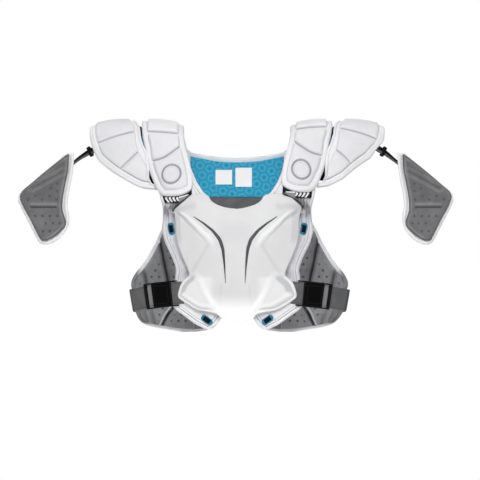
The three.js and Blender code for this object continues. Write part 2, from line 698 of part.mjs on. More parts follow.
function armStrap(sign) {
  const rows = ARM_STRAP.map((_, row) => row);
  const layer = { inside: -ARM_STRAP_THICKNESS / 2, outside: ARM_STRAP_THICKNESS / 2 };
  return sheet(rows, [-0.5, 0.5], layer, (row, share, out) => {
    const { x, y, z, width, sway } = ARM_STRAP[row];
    const frame = strapFrame(row);
    const point = new THREE.Vector3(x, y, z);
    point.addScaledVector(frame.across, share * width).addScaledVector(frame.out, out);
    point.x = sign * point.x + ARM_SWAY * sway;
    return point;
  });
}

// A slider on the strap, cut through where the strap passes.
function armBuckle(sign) {
  const row = 2;
  const { x, y, z } = ARM_STRAP[row];
  const { along, across, out } = strapFrame(row);
  const place = new THREE.Matrix4().makeBasis(along, across, out.clone());
  place.setPosition(new THREE.Vector3(x, y, z).addScaledVector(along, -ARM_BUCKLE.setBack));
  const mirror = new THREE.Matrix4().makeScale(sign, 1, 1).setPosition(ARM_SWAY * ARM_BUCKLE.sway, 0, 0);
  const block = (length, height, depth) => {
    const box = new THREE.BoxGeometry(length, height, depth).applyMatrix4(place).applyMatrix4(mirror);
    const corners = [];
    const bare = box.toNonIndexed().getAttribute("position");
    for (let i = 0; i < bare.count; i += 1) corners.push(new THREE.Vector3().fromBufferAttribute(bare, i));
    return solid(facingOut(corners));
  };
  const slot = block(3 * ARM_BUCKLE.length, 11, ARM_STRAP_THICKNESS + 2.4);
  return geometryOf(block(ARM_BUCKLE.length, ARM_BUCKLE.height, ARM_BUCKLE.depth).subtract(slot));
}

// Back shell and its liners

// The right half of the back shell, round from the spine: its top and hem at each turn. Two tongues run up
// to the shoulder ridge.
const RIDGE = 20;
const BACK_COLUMNS = [
  { turn: 0, top: -47.5, hem: -305 },
  { turn: 5, top: -46.6, hem: -322 },
  { turn: 10, top: -44.2, hem: -345 },
  { turn: 16, top: -40.2, hem: -351 },
  { turn: 22, top: -36.5, hem: -352 },
  { turn: 23.4, top: -35.5, hem: -352 },
  { turn: 26.5, top: RIDGE, hem: -352 },
  { turn: 31, top: RIDGE, hem: -351 },
  { turn: 36, top: RIDGE, hem: -349.5 },
  { turn: 39, top: -165, hem: -348.5 },
  { turn: 45, top: -194, hem: -346.5 },
  { turn: 53, top: -221, hem: -344.5 },
  { turn: 57, top: -230, hem: -343 },
  { turn: 62, top: -238, hem: -341.5 },
  { turn: 72, top: -250, hem: -338 },
  { turn: 82, top: -260, hem: -331 },
  { turn: 92, top: -269, hem: -317 },
  { turn: 96, top: -274, hem: -312 },
  { turn: 100, top: -279, hem: -306 },
];
const BACK_ROWS = 9;
const CUTTER = { inside: -15, outside: 40 };
const YOKE_SEAM = -115;
const SPINE_TURN = 22;
const LINER_INSET = 5;
const WING_LINER = { start: 22.4, end: 96, top: -173 };

const mirrored = (columns) => columns.filter(({ turn }) => turn > 0).map((c) => ({ ...c, turn: -c.turn }));
const bothSides = (columns) => [...mirrored(columns).reverse(), ...columns];

// A whole layer of the back at some columns, from the shoulder ridge to the hem.
function backLayer(columns, layer) {
  const arches = stations(RIDGE_ARCH, archAt(-HEM_DROP, 0), BACK_ROWS);
  const place = (arch, { turn }, out) => torsoPoint(turn, archHeight(arch, out), out);
  return solid(sheet(arches, columns, layer, place));
}

// That layer cut to the columns' named top and hem.
function backPiece(columns, layer) {
  const cutter = sheet(columns, stations(0, 1, BACK_ROWS), CUTTER, ({ turn, top, hem }, share, out) =>
    torsoPoint(turn, heightBetween(top, hem, share, out), out),
  );
  return geometryOf(backLayer(columns, layer).intersect(solid(cutter)));
}

function yokeLiner() {
  const columns = BACK_COLUMNS.filter(({ turn }) => turn <= SPINE_TURN);
  const hem = YOKE_SEAM + CLEARANCE;
  const inset = columns.map(({ turn, top }) => ({ turn, top: top - LINER_INSET, hem }));
  return backPiece(bothSides(inset), LINER);
}

function spineLiner() {
  const columns = BACK_COLUMNS.filter(({ turn }) => turn <= SPINE_TURN);
  const top = YOKE_SEAM - CLEARANCE;
  const inset = columns.map(({ turn, hem }) => ({ turn, top, hem: hem + LINER_INSET }));
  return backPiece(bothSides(inset), LINER);
}

// A wing's liner runs from the spine's liner to near the front edge, inside the shell's own edges.
function wingLiner(sign) {
  const columns = BACK_COLUMNS.filter(({ turn }) => turn >= SPINE_TURN && turn <= WING_LINER.end);
  const inset = columns.map(({ turn, top, hem }) => ({
    turn: Math.max(turn, WING_LINER.start),
    top: Math.min(top - LINER_INSET, WING_LINER.top),
    hem: hem + LINER_INSET,
  }));
  return backPiece(sign > 0 ? inset : mirrored(inset), LINER);
}

const LABELS = [
  { name: "label_small", left: -38, right: -9, top: -66, bottom: -92 },
  { name: "label_large", left: -3, right: 26, top: -62, bottom: -96 },
];

function sewnLabel({ left, right, top, bottom }) {
  const corners = [[left, top], [right, top], [right, bottom], [left, bottom]];
  const shape = new THREE.Shape(corners.map(([x, z]) => new THREE.Vector2(x, z)));
  const columns = bothSides(BACK_COLUMNS.filter(({ turn }) => turn <= SPINE_TURN));
  return geometryOf(backLayer(columns, LABEL).intersect(frontPrism(shape)));
}

// Side straps, buckles and tabs

// The strap's route round the side: its middle height and how far its inside is from the body.
const STRAP_ROUTE = [
  { turn: 58, z: -297.5, out: 10.1 },
  { turn: 72, z: -297.5, out: 10.1 },
  { turn: 84, z: -297, out: 13 },
  { turn: 96, z: -295.5, out: 13 },
  { turn: 108, z: -293, out: 10.5 },
  { turn: 122, z: -289, out: 7.5 },
  { turn: 148, z: -282.5, out: 5.8 },
  { turn: 153, z: -281, out: 5.8 },
];
const STRAP_THICKNESS = 2;
const STRAP_STEPS = 15;
const BUCKLE = { from: 121.5, to: 150, height: 44.5, thickness: 3.2 };
const BUCKLE_WINDOW = { from: 124.1, to: 129.6 };
const BUCKLE_BODY_END = 145.8;
const HOOK_TAB = { from: 130.3, to: 145.2, height: 38.5, thickness: 1.6 };

// A band laid on the strap's route between two turns, at a height above the strap's inside.
function strapBand(sign, fromTurn, toTurn, steps, height, layer) {
  const shares = [-0.5, 0, 0.5];
  return sheet(stations(fromTurn, toTurn, steps), shares, layer, (turn, share, out) => {
    const route = tableAt(STRAP_ROUTE, "turn", turn);
    return torsoPoint(sign * turn, route.z + share * height, route.out + out);
  });
}

function sideStrap(sign) {
  const layer = { inside: 0, outside: STRAP_THICKNESS };
  return strapBand(sign, STRAP_ROUTE[0].turn, STRAP_ROUTE.at(-1).turn, STRAP_STEPS, STRAP_WIDTH, layer);
}

// The buckle's body has a window that shows the strap, and two ears that reach past it.
function sideBuckle(sign) {
  const inside = STRAP_THICKNESS + CLEARANCE;
  const layer = { inside, outside: inside + BUCKLE.thickness };
  const through = { inside: inside - 5, outside: inside + 2 * BUCKLE.thickness };
  const opening = STRAP_WIDTH + 1;
  const body = solid(strapBand(sign, BUCKLE.from, BUCKLE.to, 8, BUCKLE.height, layer));
  const hole = solid(strapBand(sign, BUCKLE_WINDOW.from, BUCKLE_WINDOW.to, 2, opening, through));
  const notch = solid(strapBand(sign, BUCKLE_BODY_END, BUCKLE.to + 4, 2, opening, through));
  return geometryOf(body.subtract(hole).subtract(notch));
}

function hookTab(sign) {
  const inside = STRAP_THICKNESS + BUCKLE.thickness + 2 * CLEARANCE;
  const layer = { inside, outside: inside + HOOK_TAB.thickness };
  return strapBand(sign, HOOK_TAB.from, HOOK_TAB.to, 5, HOOK_TAB.height, layer);
}

// Assembly

const pads = new THREE.Group();

function add(name, material, geometry) {
  geometry.computeVertexNormals();
  const finish = new THREE.MeshStandardMaterial({ metalness: 0, ...MATERIALS[material] });
  const mesh = new THREE.Mesh(geometry, finish);
  mesh.name = name;
  pads.add(mesh);
}

add("front_vest", "fabric", frontVest());
add("chest_plate", "plate", chestPlate());
add("back_shell", "fabric", backPiece(bothSides(BACK_COLUMNS), BACK_SHELL));
add("yoke_liner", "blueLiner", yokeLiner());
add("spine_liner", "greyLiner", spineLiner());
for (const label of LABELS) add(label.name, "label", sewnLabel(label));
for (const { name, sign } of SIDES) {
  add(`plate_slash_${name}`, "accent", plateSlash(sign));
  add(`chevron_elastic_${name}`, "elastic", chevronElastic(sign));
  add(`strap_cap_${name}`, "shell", strapCap(sign));
  add(`shoulder_cap_${name}`, "shell", shoulderCap(sign));
  add(`cap_web_${name}`, "black", capWeb(sign));
  add(`arm_shell_${name}`, "shell", armPiece(ARM_SHELL_SECTIONS, ARM_SHELL, ARM_PLAIN, sign));
  add(`arm_liner_${name}`, "greyLiner", armPiece(ARM_LINER_SECTIONS, ARM_LINER, ARM_RIB, sign));
  add(`arm_strap_${name}`, "black", armStrap(sign));
  add(`arm_buckle_${name}`, "black", armBuckle(sign));
  add(`wing_liner_${name}`, "greyLiner", wingLiner(sign));
  add(`side_strap_${name}`, "elastic", sideStrap(sign));
  add(`side_buckle_${name}`, "black", sideBuckle(sign));
  add(`hook_tab_${name}`, "black", hookTab(sign));
  for (const place of EYELETS) {
    add(`eyelet_ring_${place.name}_${name}`, "blueLiner", eyeletRing(place, sign));
    add(`eyelet_bar_${place.name}_${name}`, "black", eyeletBar(place, sign));
  }
}

export default pads;
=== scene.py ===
"""Lacrosse shoulder pads in their worn form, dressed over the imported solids.

Metres in Blender, millimetres in the tables here. +Z is up and the front faces -Y.
"""

import math

import bmesh
import bpy
import numpy as np
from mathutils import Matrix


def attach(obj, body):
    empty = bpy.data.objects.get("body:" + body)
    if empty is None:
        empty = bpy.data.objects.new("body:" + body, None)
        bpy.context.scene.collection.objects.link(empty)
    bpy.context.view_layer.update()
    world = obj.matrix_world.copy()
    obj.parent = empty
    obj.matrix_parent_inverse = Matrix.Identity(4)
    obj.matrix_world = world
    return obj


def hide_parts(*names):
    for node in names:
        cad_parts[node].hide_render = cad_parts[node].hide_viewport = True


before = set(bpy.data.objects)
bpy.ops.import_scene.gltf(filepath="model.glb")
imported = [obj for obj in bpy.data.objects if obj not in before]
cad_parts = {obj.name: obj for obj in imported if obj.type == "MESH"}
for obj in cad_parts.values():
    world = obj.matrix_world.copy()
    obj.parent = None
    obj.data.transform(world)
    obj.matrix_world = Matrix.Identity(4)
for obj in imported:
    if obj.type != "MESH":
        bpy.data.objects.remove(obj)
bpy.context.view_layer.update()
MM = 0.001

# Camera, lights and floor

PHOTO_CENTRE = (5, -190)
PHOTO_WIDTH = 840
CAMERA_DISTANCE = 12000
SENSOR = 36
# Place, aim and size in metres, and power, of each light.
LIGHTS = (
    ("front", (0, -2.9, 1.2), (0, 0, -0.17), (1.6, 1.0), 66),
    ("left", (-2.4, -1.7, 0.8), (0, 0, -0.17), (1.2, 1.8), 4),
    ("right", (2.4, -1.7, 0.8), (0, 0, -0.17), (1.2, 1.8), 4),
    ("top", (0, 0.1, 2.4), (0, 0, -0.15), (2.0, 1.4), 14),
    ("back", (0, 2.4, 0.8), (0, 0, -0.17), (2.4, 1.4), 36),
)


def make_camera():
    data = bpy.data.cameras.new("camera")
    data.sensor_width = SENSOR
    data.lens = SENSOR * CAMERA_DISTANCE / PHOTO_WIDTH
    data.clip_end = 60
    camera = bpy.data.objects.new("camera", data)
    camera.location = (PHOTO_CENTRE[0] * MM, -CAMERA_DISTANCE * MM, PHOTO_CENTRE[1] * MM)
    camera.rotation_euler = (math.radians(90), 0, 0)
    bpy.context.scene.collection.objects.link(camera)
    bpy.context.scene.camera = camera


def make_area(name, place, aim, size, power):
    data = bpy.data.lights.new(name, "AREA")
    data.shape = "RECTANGLE"
    data.size, data.size_y = size
    data.energy = power
    lamp = bpy.data.objects.new(name, data)
    lamp.location = place
    way = np.array(aim, float) - np.array(place, float)
    flat = math.hypot(way[0], way[1])
    lamp.rotation_euler = (math.atan2(flat, -way[2]), 0, math.atan2(-way[0], way[1]))
    bpy.context.scene.collection.objects.link(lamp)


def make_world(light, shown):
    """Soft even light from all round; the backdrop itself shows white."""
    world = bpy.data.worlds.new("studio")
    bpy.context.scene.world = world
    world.use_nodes = True
    tree = world.node_tree
    tree.nodes.clear()
    out = tree.nodes.new("ShaderNodeOutputWorld")
    mix = tree.nodes.new("ShaderNodeMixShader")
    path = tree.nodes.new("ShaderNodeLightPath")
    tree.links.new(path.outputs["Is Camera Ray"], mix.inputs["Fac"])
    for index, strength in ((1, light), (2, shown)):
        glow = tree.nodes.new("ShaderNodeBackground")
        glow.inputs["Color"].default_value = (1, 1, 1, 1)
        glow.inputs["Strength"].default_value = strength
        tree.links.new(glow.outputs[0], mix.inputs[index])
    tree.links.new(mix.outputs[0], out.inputs["Surface"])


make_camera()
make_world(light=0.2, shown=1.0)
for light in LIGHTS:
    make_area(*light)
bpy.context.scene.view_settings.view_transform = "Standard"

# Numbers


def lerp(a, b, t):
    return a + (b - a) * t


def step(low, high, x):
    t = np.clip((x - low) / (high - low), 0, 1)
    return t * t * (3 - 2 * t)


def rise(d, radius):
    """A rounded edge: 0 at the edge, 1 from one radius inside it."""
    t = np.clip(d / radius, 0, 1)
    return np.sqrt(1 - (1 - t) ** 2)


def rounding(d, depth, radius):
    """How far a rounded edge of that depth and radius falls away."""
    return depth * (1 - rise(d, radius))


def window(x, start, full, fall, end):
    """0, up to 1 between the first two values, and back to 0 between the last two."""
    return step(start, full, x) * (1 - step(fall, end, x))


def bump(d, half):
    """A round ridge of that half width."""
    t = np.clip(np.abs(d) / half, 0, 1)
    return np.cos(t * np.pi / 2) ** 2


def haze(d, half):
    """A soft spot of about that half width."""
    return np.exp(-((d / half) ** 2))


def blend(a, b, radius):
    """The lesser of two, rounded where they meet."""
    return -np.logaddexp(-a / radius, -b / radius) * radius


def spread(count, crowd):
    """Shares from 0 to 1, closer together at both ends."""
    t = np.linspace(0, 1, count)
    return lerp(t, 0.5 - 0.5 * np.cos(np.pi * t), crowd)


def smooth(x, y, at):
    """A smooth curve through table values that doesn't overshoot them."""
    x, y, at = (np.asarray(v, float) for v in (x, y, at))
    if x[0] > x[-1]:
        x, y = x[::-1], y[::-1]
    gap = np.diff(x)
    slope = np.diff(y) / gap
    same = slope[:-1] * slope[1:] > 0
    w1 = 2 * gap[1:] + gap[:-1]
    w2 = gap[1:] + 2 * gap[:-1]
    before = np.where(same, slope[:-1], 1)
    after = np.where(same, slope[1:], 1)
    tilt = np.empty_like(y)
    tilt[1:-1] = np.where(same, (w1 + w2) / (w1 / before + w2 / after), 0)
    tilt[0], tilt[-1] = slope[0], slope[-1]
    at = np.clip(at, x[0], x[-1])
    i = np.clip(np.searchsorted(x, at) - 1, 0, len(gap) - 1)
    t = (at - x[i]) / gap[i]
    low = (1 + 2 * t) * (1 - t) ** 2 * y[i] + t * (1 - t) ** 2 * gap[i] * tilt[i]
    return low + t * t * (3 - 2 * t) * y[i + 1] + t * t * (t - 1) * gap[i] * tilt[i + 1]


def column(table, index):
    return [row[index] for row in table]


def curve(table, index, at):
    """A column of a table as a smooth curve over its first column."""
    return smooth(column(table, 0), column(table, index), at)


def table_line(table, z):
    """The second column of a table of falling heights, at each height z."""
    return np.interp(-z, [-row[0] for row in table], [row[1] for row in table])


def averaged(values, reach):
    """Each value's mean with its neighbours to both sides."""
    count = 2 * reach + 1
    return np.convolve(np.pad(values, reach, mode="edge"), np.ones(count) / count, "valid")


def spanned(inner, outer, share, z):
    """A grid from an inner to an outer edge: how far out and how high each point is."""
    across = lerp(inner[:, None], outer[:, None], share[None])
    return across, np.broadcast_to(z[:, None], across.shape)


def lengths(line):
    """How long a line is up to each of its points."""
    return np.concatenate([[0], np.cumsum(np.linalg.norm(np.diff(line, axis=0), axis=1))])


def along(line, spacing):
    """Points every so often along a line of points."""
    line = np.asarray(line, float)
    length = lengths(line)
    at = np.linspace(0, length[-1], max(int(length[-1] / spacing), 2))
    return np.stack([np.interp(at, length, line[:, k]) for k in range(line.shape[1])], -1)


def distance(points, line):
    """How far each point of a grid is from a line of points."""
    flat = points.reshape(-1, points.shape[-1])
    start, way = line[:-1], np.diff(line, axis=0)
    size = np.maximum((way**2).sum(1), 1e-9)
    best = np.empty(len(flat))
    for i in range(0, len(flat), 4000):
        part = flat[i : i + 4000, None]
        t = np.clip(((part - start) * way).sum(-1) / size, 0, 1)
        best[i : i + 4000] = np.sqrt((((part - start) - t[..., None] * way) ** 2).sum(-1).min(1))
    return best.reshape(points.shape[:-1])


# The body that the pads fit

CHEST_DEPTH, BACK_DEPTH = 108, 102
TORSO_HALF_WIDTH = 177
SHOULDER_DROP, HEM_DROP = 235, 352
WAIST_TAPER, SIDE_TAPER = 0.08, 0.1
ROUNDNESS = 2.5
TORSO_STEP = 4
NECK_ROLL = 8
NECK_INNER, NECK_OUTER = 93, 164
# The front and the back both stop this arch angle short of the ridge.
RIDGE_GAP = 0.5


def fall_to(z):
    return np.clip((-SHOULDER_DROP - z) / (HEM_DROP - SHOULDER_DROP), 0, 1)


def fullness(z, out):
    up = np.clip((z + SHOULDER_DROP) / (SHOULDER_DROP + out), 0, 1)
    return np.sqrt(1 - up * up) * (1 - WAIST_TAPER * fall_to(z) ** 2)


def half_width(z, out):
    return (TORSO_HALF_WIDTH + out) * (1 - SIDE_TAPER * fall_to(z))


def neck_roll(x, z, out):
    share = np.clip((NECK_OUTER - np.abs(x)) / (NECK_OUTER - NECK_INNER), 0, 1)
    up = np.clip((z + SHOULDER_DROP) / (SHOULDER_DROP + out), 0, 1)
    return NECK_ROLL * share**2 * up**8


def torso(turn, z, out):
    """A point round the torso: turn is 0 at the middle of the back and 90 at the side."""
    turn, z, out = np.broadcast_arrays(np.radians(turn), z, out)
    power = 2 / ROUNDNESS
    sine, cosine = np.sin(turn), np.cos(turn)
    x = half_width(z, out) * np.sign(sine) * np.abs(sine) ** power
    depth = np.where(cosine > 0, BACK_DEPTH, CHEST_DEPTH) + out
    y = depth * np.sign(cosine) * np.abs(cosine) ** power * fullness(z, out)
    return np.stack([x, y, z - neck_roll(x, z, out)], -1)


def body(facing, x, z, out):
    """A point on the front (-1) or the back (1), straight behind a place in the front view."""
    x, z, out = np.broadcast_arrays(x, z, out)
    share = np.minimum(np.abs(x) / half_width(z, out), 1)
    depth = np.where(np.asarray(facing) < 0, CHEST_DEPTH, BACK_DEPTH) + out
    y = facing * depth * (1 - share**ROUNDNESS) ** (1 / ROUNDNESS) * fullness(z, out)
    return np.stack([x, y, z - neck_roll(x, z, out)], -1)


# The soft back and sides stand wider on the right than on the left: the widening at each height and depth.
LIE_LEFT, LIE_RIGHT = 0.3, 1.0
LIE_HEIGHTS = ((-330, 0.5), (-312, 1), (-175, 1), (-165, 0.8), (-152, 0.25), (-140, 0))
LIE_DEPTHS = ((-112, 0.004), (-95, 0.018), (-70, 0.028), (-40, 0.05), (0, 0.068), (60, 0.07))


def lie(points):
    """Points of the pads as they lie on the wearer."""
    x, y, z = np.moveaxis(points, -1, 0)
    share = np.interp(z, *zip(*LIE_HEIGHTS)) * np.interp(y, *zip(*LIE_DEPTHS))
    return np.stack([x * (1 + np.where(x < 0, LIE_LEFT, LIE_RIGHT) * share), y, z], -1)


def arch_height(arch, out):
    """The height at an angle over the shoulder, 0 on the ridge and 90 at the foot, and on down from there."""
    arch = np.abs(arch)
    low = -SHOULDER_DROP - TORSO_STEP * (arch - 90)
    high = (SHOULDER_DROP + out) * np.cos(np.radians(np.minimum(arch, 90))) - SHOULDER_DROP
    return np.where(arch > 90, low, high)


def arch_at(z):
    """The angle over the shoulder at a height."""
    z = np.asarray(z, float)
    up = np.degrees(np.arccos(np.clip((z + SHOULDER_DROP) / SHOULDER_DROP, -1, 1)))
    return np.where(z < -SHOULDER_DROP, 90 - (z + SHOULDER_DROP) / TORSO_STEP, up)


def over_shoulder(x, arch, out):
    x, arch, out = np.broadcast_arrays(x, arch, out)
    return body(np.where(arch > 0, -1, 1), x, arch_height(arch, out), out)


# Pieces

SHARP_ANGLE = 35
HIDDEN_STRIDE = 5
# Rows and columns of each piece's seen side.
GRIDS = {
    "strap_cap": (220, 90),
    "shoulder_cap": (260, 120),
    "chest_plate": (220, 120),
    "front_vest": (250, 90),
    "chevron_elastic": (116, 120),
    "back_shell": (190, 94),
    "yoke_liner": (50, 100),
    "spine_liner": (130, 100),
    "wing_liner": (160, 150),
    "label": (40, 40),
    "arm_shell": (130, 80),
    "arm_liner": (136, 92),
    "arm_strap": (70, 13),
    "cap_web": (80, 36),
    "side_strap": (230, 32),
    "hook_tab": (48, 48),
    "eyelet_bar": (25, 15),
}


def make_mesh(name, points, faces, uv, print_and_painted_light, sharp=SHARP_ANGLE):
    """A mesh object from points in millimetres, with flat coordinates and a value for print and painted light
    at each point.
    """
    corners = np.concatenate([face.ravel() for face in faces])
    sizes = np.concatenate([np.full(len(face), face.shape[1]) for face in faces])
    mesh = bpy.data.meshes.new(name)
    mesh.vertices.add(len(points))
    mesh.vertices.foreach_set("co", (points * MM).ravel())
    mesh.loops.add(len(corners))
    mesh.loops.foreach_set("vertex_index", corners.astype(np.int32))
    mesh.polygons.add(len(sizes))
    mesh.polygons.foreach_set("loop_start", (np.cumsum(sizes) - sizes).astype(np.int32))
    mesh.update(calc_edges=True)
    mesh.uv_layers.new(name="flat").data.foreach_set("uv", (uv[corners] * MM).ravel())
    mesh.attributes.new("print_and_painted_light", "FLOAT", "POINT").data.foreach_set("value", print_and_painted_light)
    mesh.shade_smooth()
    mesh.set_sharp_from_angle(angle=math.radians(sharp))
    piece = bpy.data.objects.new(name, mesh)
    bpy.context.scene.collection.objects.link(piece)
    return piece


def grid_quads(rows, columns):
    a = (np.arange(rows - 1)[:, None] * columns + np.arange(columns - 1)).ravel()
    return np.stack([a, a + 1, a + columns + 1, a + columns], -1)


def rim_loop(rows, columns):
    top = np.arange(columns)
    right = np.arange(1, rows) * columns + columns - 1
    bottom = (rows - 1) * columns + np.arange(columns - 2, -1, -1)
    left = np.arange(rows - 2, 0, -1) * columns
    return np.concatenate([top, right, bottom, left])


def rim_of(grid):
    """The points round a grid's rim, back to the first one."""
    loop = rim_loop(*grid.shape[:2])
    return grid.reshape(-1, grid.shape[-1])[np.append(loop, loop[0])]


def flipped(faces):
    return [face[:, ::-1] for face in faces]


def turned_out(points, faces):
    """The faces, all pointing out of the solid."""
    volume = 0
    for face in faces:
        for k in range(1, face.shape[1] - 1):
            a, b, c = (points[face[:, i]] for i in (0, k, k + 1))
            volume += (a * np.cross(b, c)).sum()
    return faces if volume > 0 else flipped(faces)


def trimmed(points, faces, uv, print_and_painted_light):
    """A solid without the points that no face uses."""
    used = np.unique(np.concatenate([face.ravel() for face in faces]))
    place = np.zeros(len(points), int)
    place[used] = np.arange(len(used))
    return points[used], [place[face] for face in faces], uv[used], print_and_painted_light[used]


def kept_lines(count, margin):
    """The grid lines of a hidden side: all of them near both ends, every few in the middle."""
    near = min(margin, count // 2)
    middle = np.arange(near, count - near, HIDDEN_STRIDE)
    return np.unique(np.concatenate([np.arange(near), middle, np.arange(count - near, count)]))


def steps(start, end, fine):
    """Every index from one up or down to another, or the first alone."""
    return range(start, end, 1 if end > start else -1) if fine else [start]


def hidden_faces(rows, columns, margin):
    """The faces of a grid's hidden side, in one array for each number of corners."""
    by_size = {}
    down, across = kept_lines(rows, margin), kept_lines(columns, margin)
    for top, bottom in zip(down, down[1:]):
        for left, right in zip(across, across[1:]):
            face = [(top, c) for c in steps(left, right, top == 0)]
            face += [(r, right) for r in steps(top, bottom, right == columns - 1)]
            face += [(bottom, c) for c in steps(right, left, bottom == rows - 1)]
            face += [(r, left) for r in steps(bottom, top, left == 0)]
            by_size.setdefault(len(face), []).append([r * columns + c for r, c in face])
    return [np.array(same) for same in by_size.values()]


def closed(top, under, uv, print_and_painted_light=None, welded=False, margin=6):
    """Points, faces, flat coordinates and print and painted light of the solid between a seen grid and a
    hidden one.

    A welded one is a half without a wall at x = 0.
    """
    rows, columns = top.shape[:2]
    count = rows * columns
    points = np.concatenate([top.reshape(-1, 3), under.reshape(-1, 3)])
    loop = rim_loop(rows, columns)
    after = np.roll(loop, -1)
    walls = np.stack([after, loop, loop + count, after + count], -1)
    if welded:
        seam = (np.abs(points[loop, 0]) < 1e-6) & (np.abs(points[after, 0]) < 1e-6)
        walls = walls[~seam]
    faces = [grid_quads(rows, columns), walls]
    faces += [face + count for face in flipped(hidden_faces(rows, columns, margin))]
    flat = np.concatenate([uv.reshape(-1, 2)] * 2)
    paint = np.zeros(2 * count) if print_and_painted_light is None else np.concatenate([print_and_painted_light.ravel()] * 2)
    return trimmed(points, turned_out(points, faces), flat, paint)


def mirrored(points, faces, uv, print_and_painted_light):
    return points * (-1, 1, 1), flipped(faces), uv * (-1, 1), print_and_painted_light


def weld(piece):
    tool = bmesh.new()
    tool.from_mesh(piece.data)
    seam = [v for v in tool.verts if abs(v.co.x) < 1e-7]
    bmesh.ops.remove_doubles(tool, verts=seam, dist=1e-6)
    tool.to_mesh(piece.data)
    tool.free()


def finish(piece, material, node):
    piece.data.materials.append(material)
    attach(piece, "root")
    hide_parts(node)


def left_and_right(solids):
    """Both solids of a pair, from a list of two or one that serves for both, with the left one mirrored."""
    left, right = solids if isinstance(solids, list) else (solids, solids)
    return mirrored(*left), right


def add_pair(name, solids, material, sway=None):
    """Two pieces, both modelled on the right, that lie on the wearer or hang a little to one side."""
    for side, (points, *rest) in zip(("left", "right"), left_and_right(solids)):
        placed = lie(points) if sway is None else points + (sway, 0, 0)
        finish(make_mesh(f"{name}_{side}_look", placed, *rest), material, f"{name}_{side}")


def add_whole(name, solids, material, sharp=SHARP_ANGLE):
    """One piece from two halves, both modelled on the right and joined in the middle."""
    left, right = left_and_right(solids)
    points, uv, print_and_painted_light = (np.concatenate([right[k], left[k]]) for k in (0, 2, 3))
    faces = right[1] + [face + len(right[0]) for face in left[1]]
    piece = make_mesh(f"{name}_look", lie(points), faces, uv, print_and_painted_light, sharp)
    weld(piece)
    finish(piece, material, name)


def add_one(name, solid, material):
    finish(make_mesh(f"{name}_look", lie(solid[0]), *solid[1:]), material, name)


# Materials


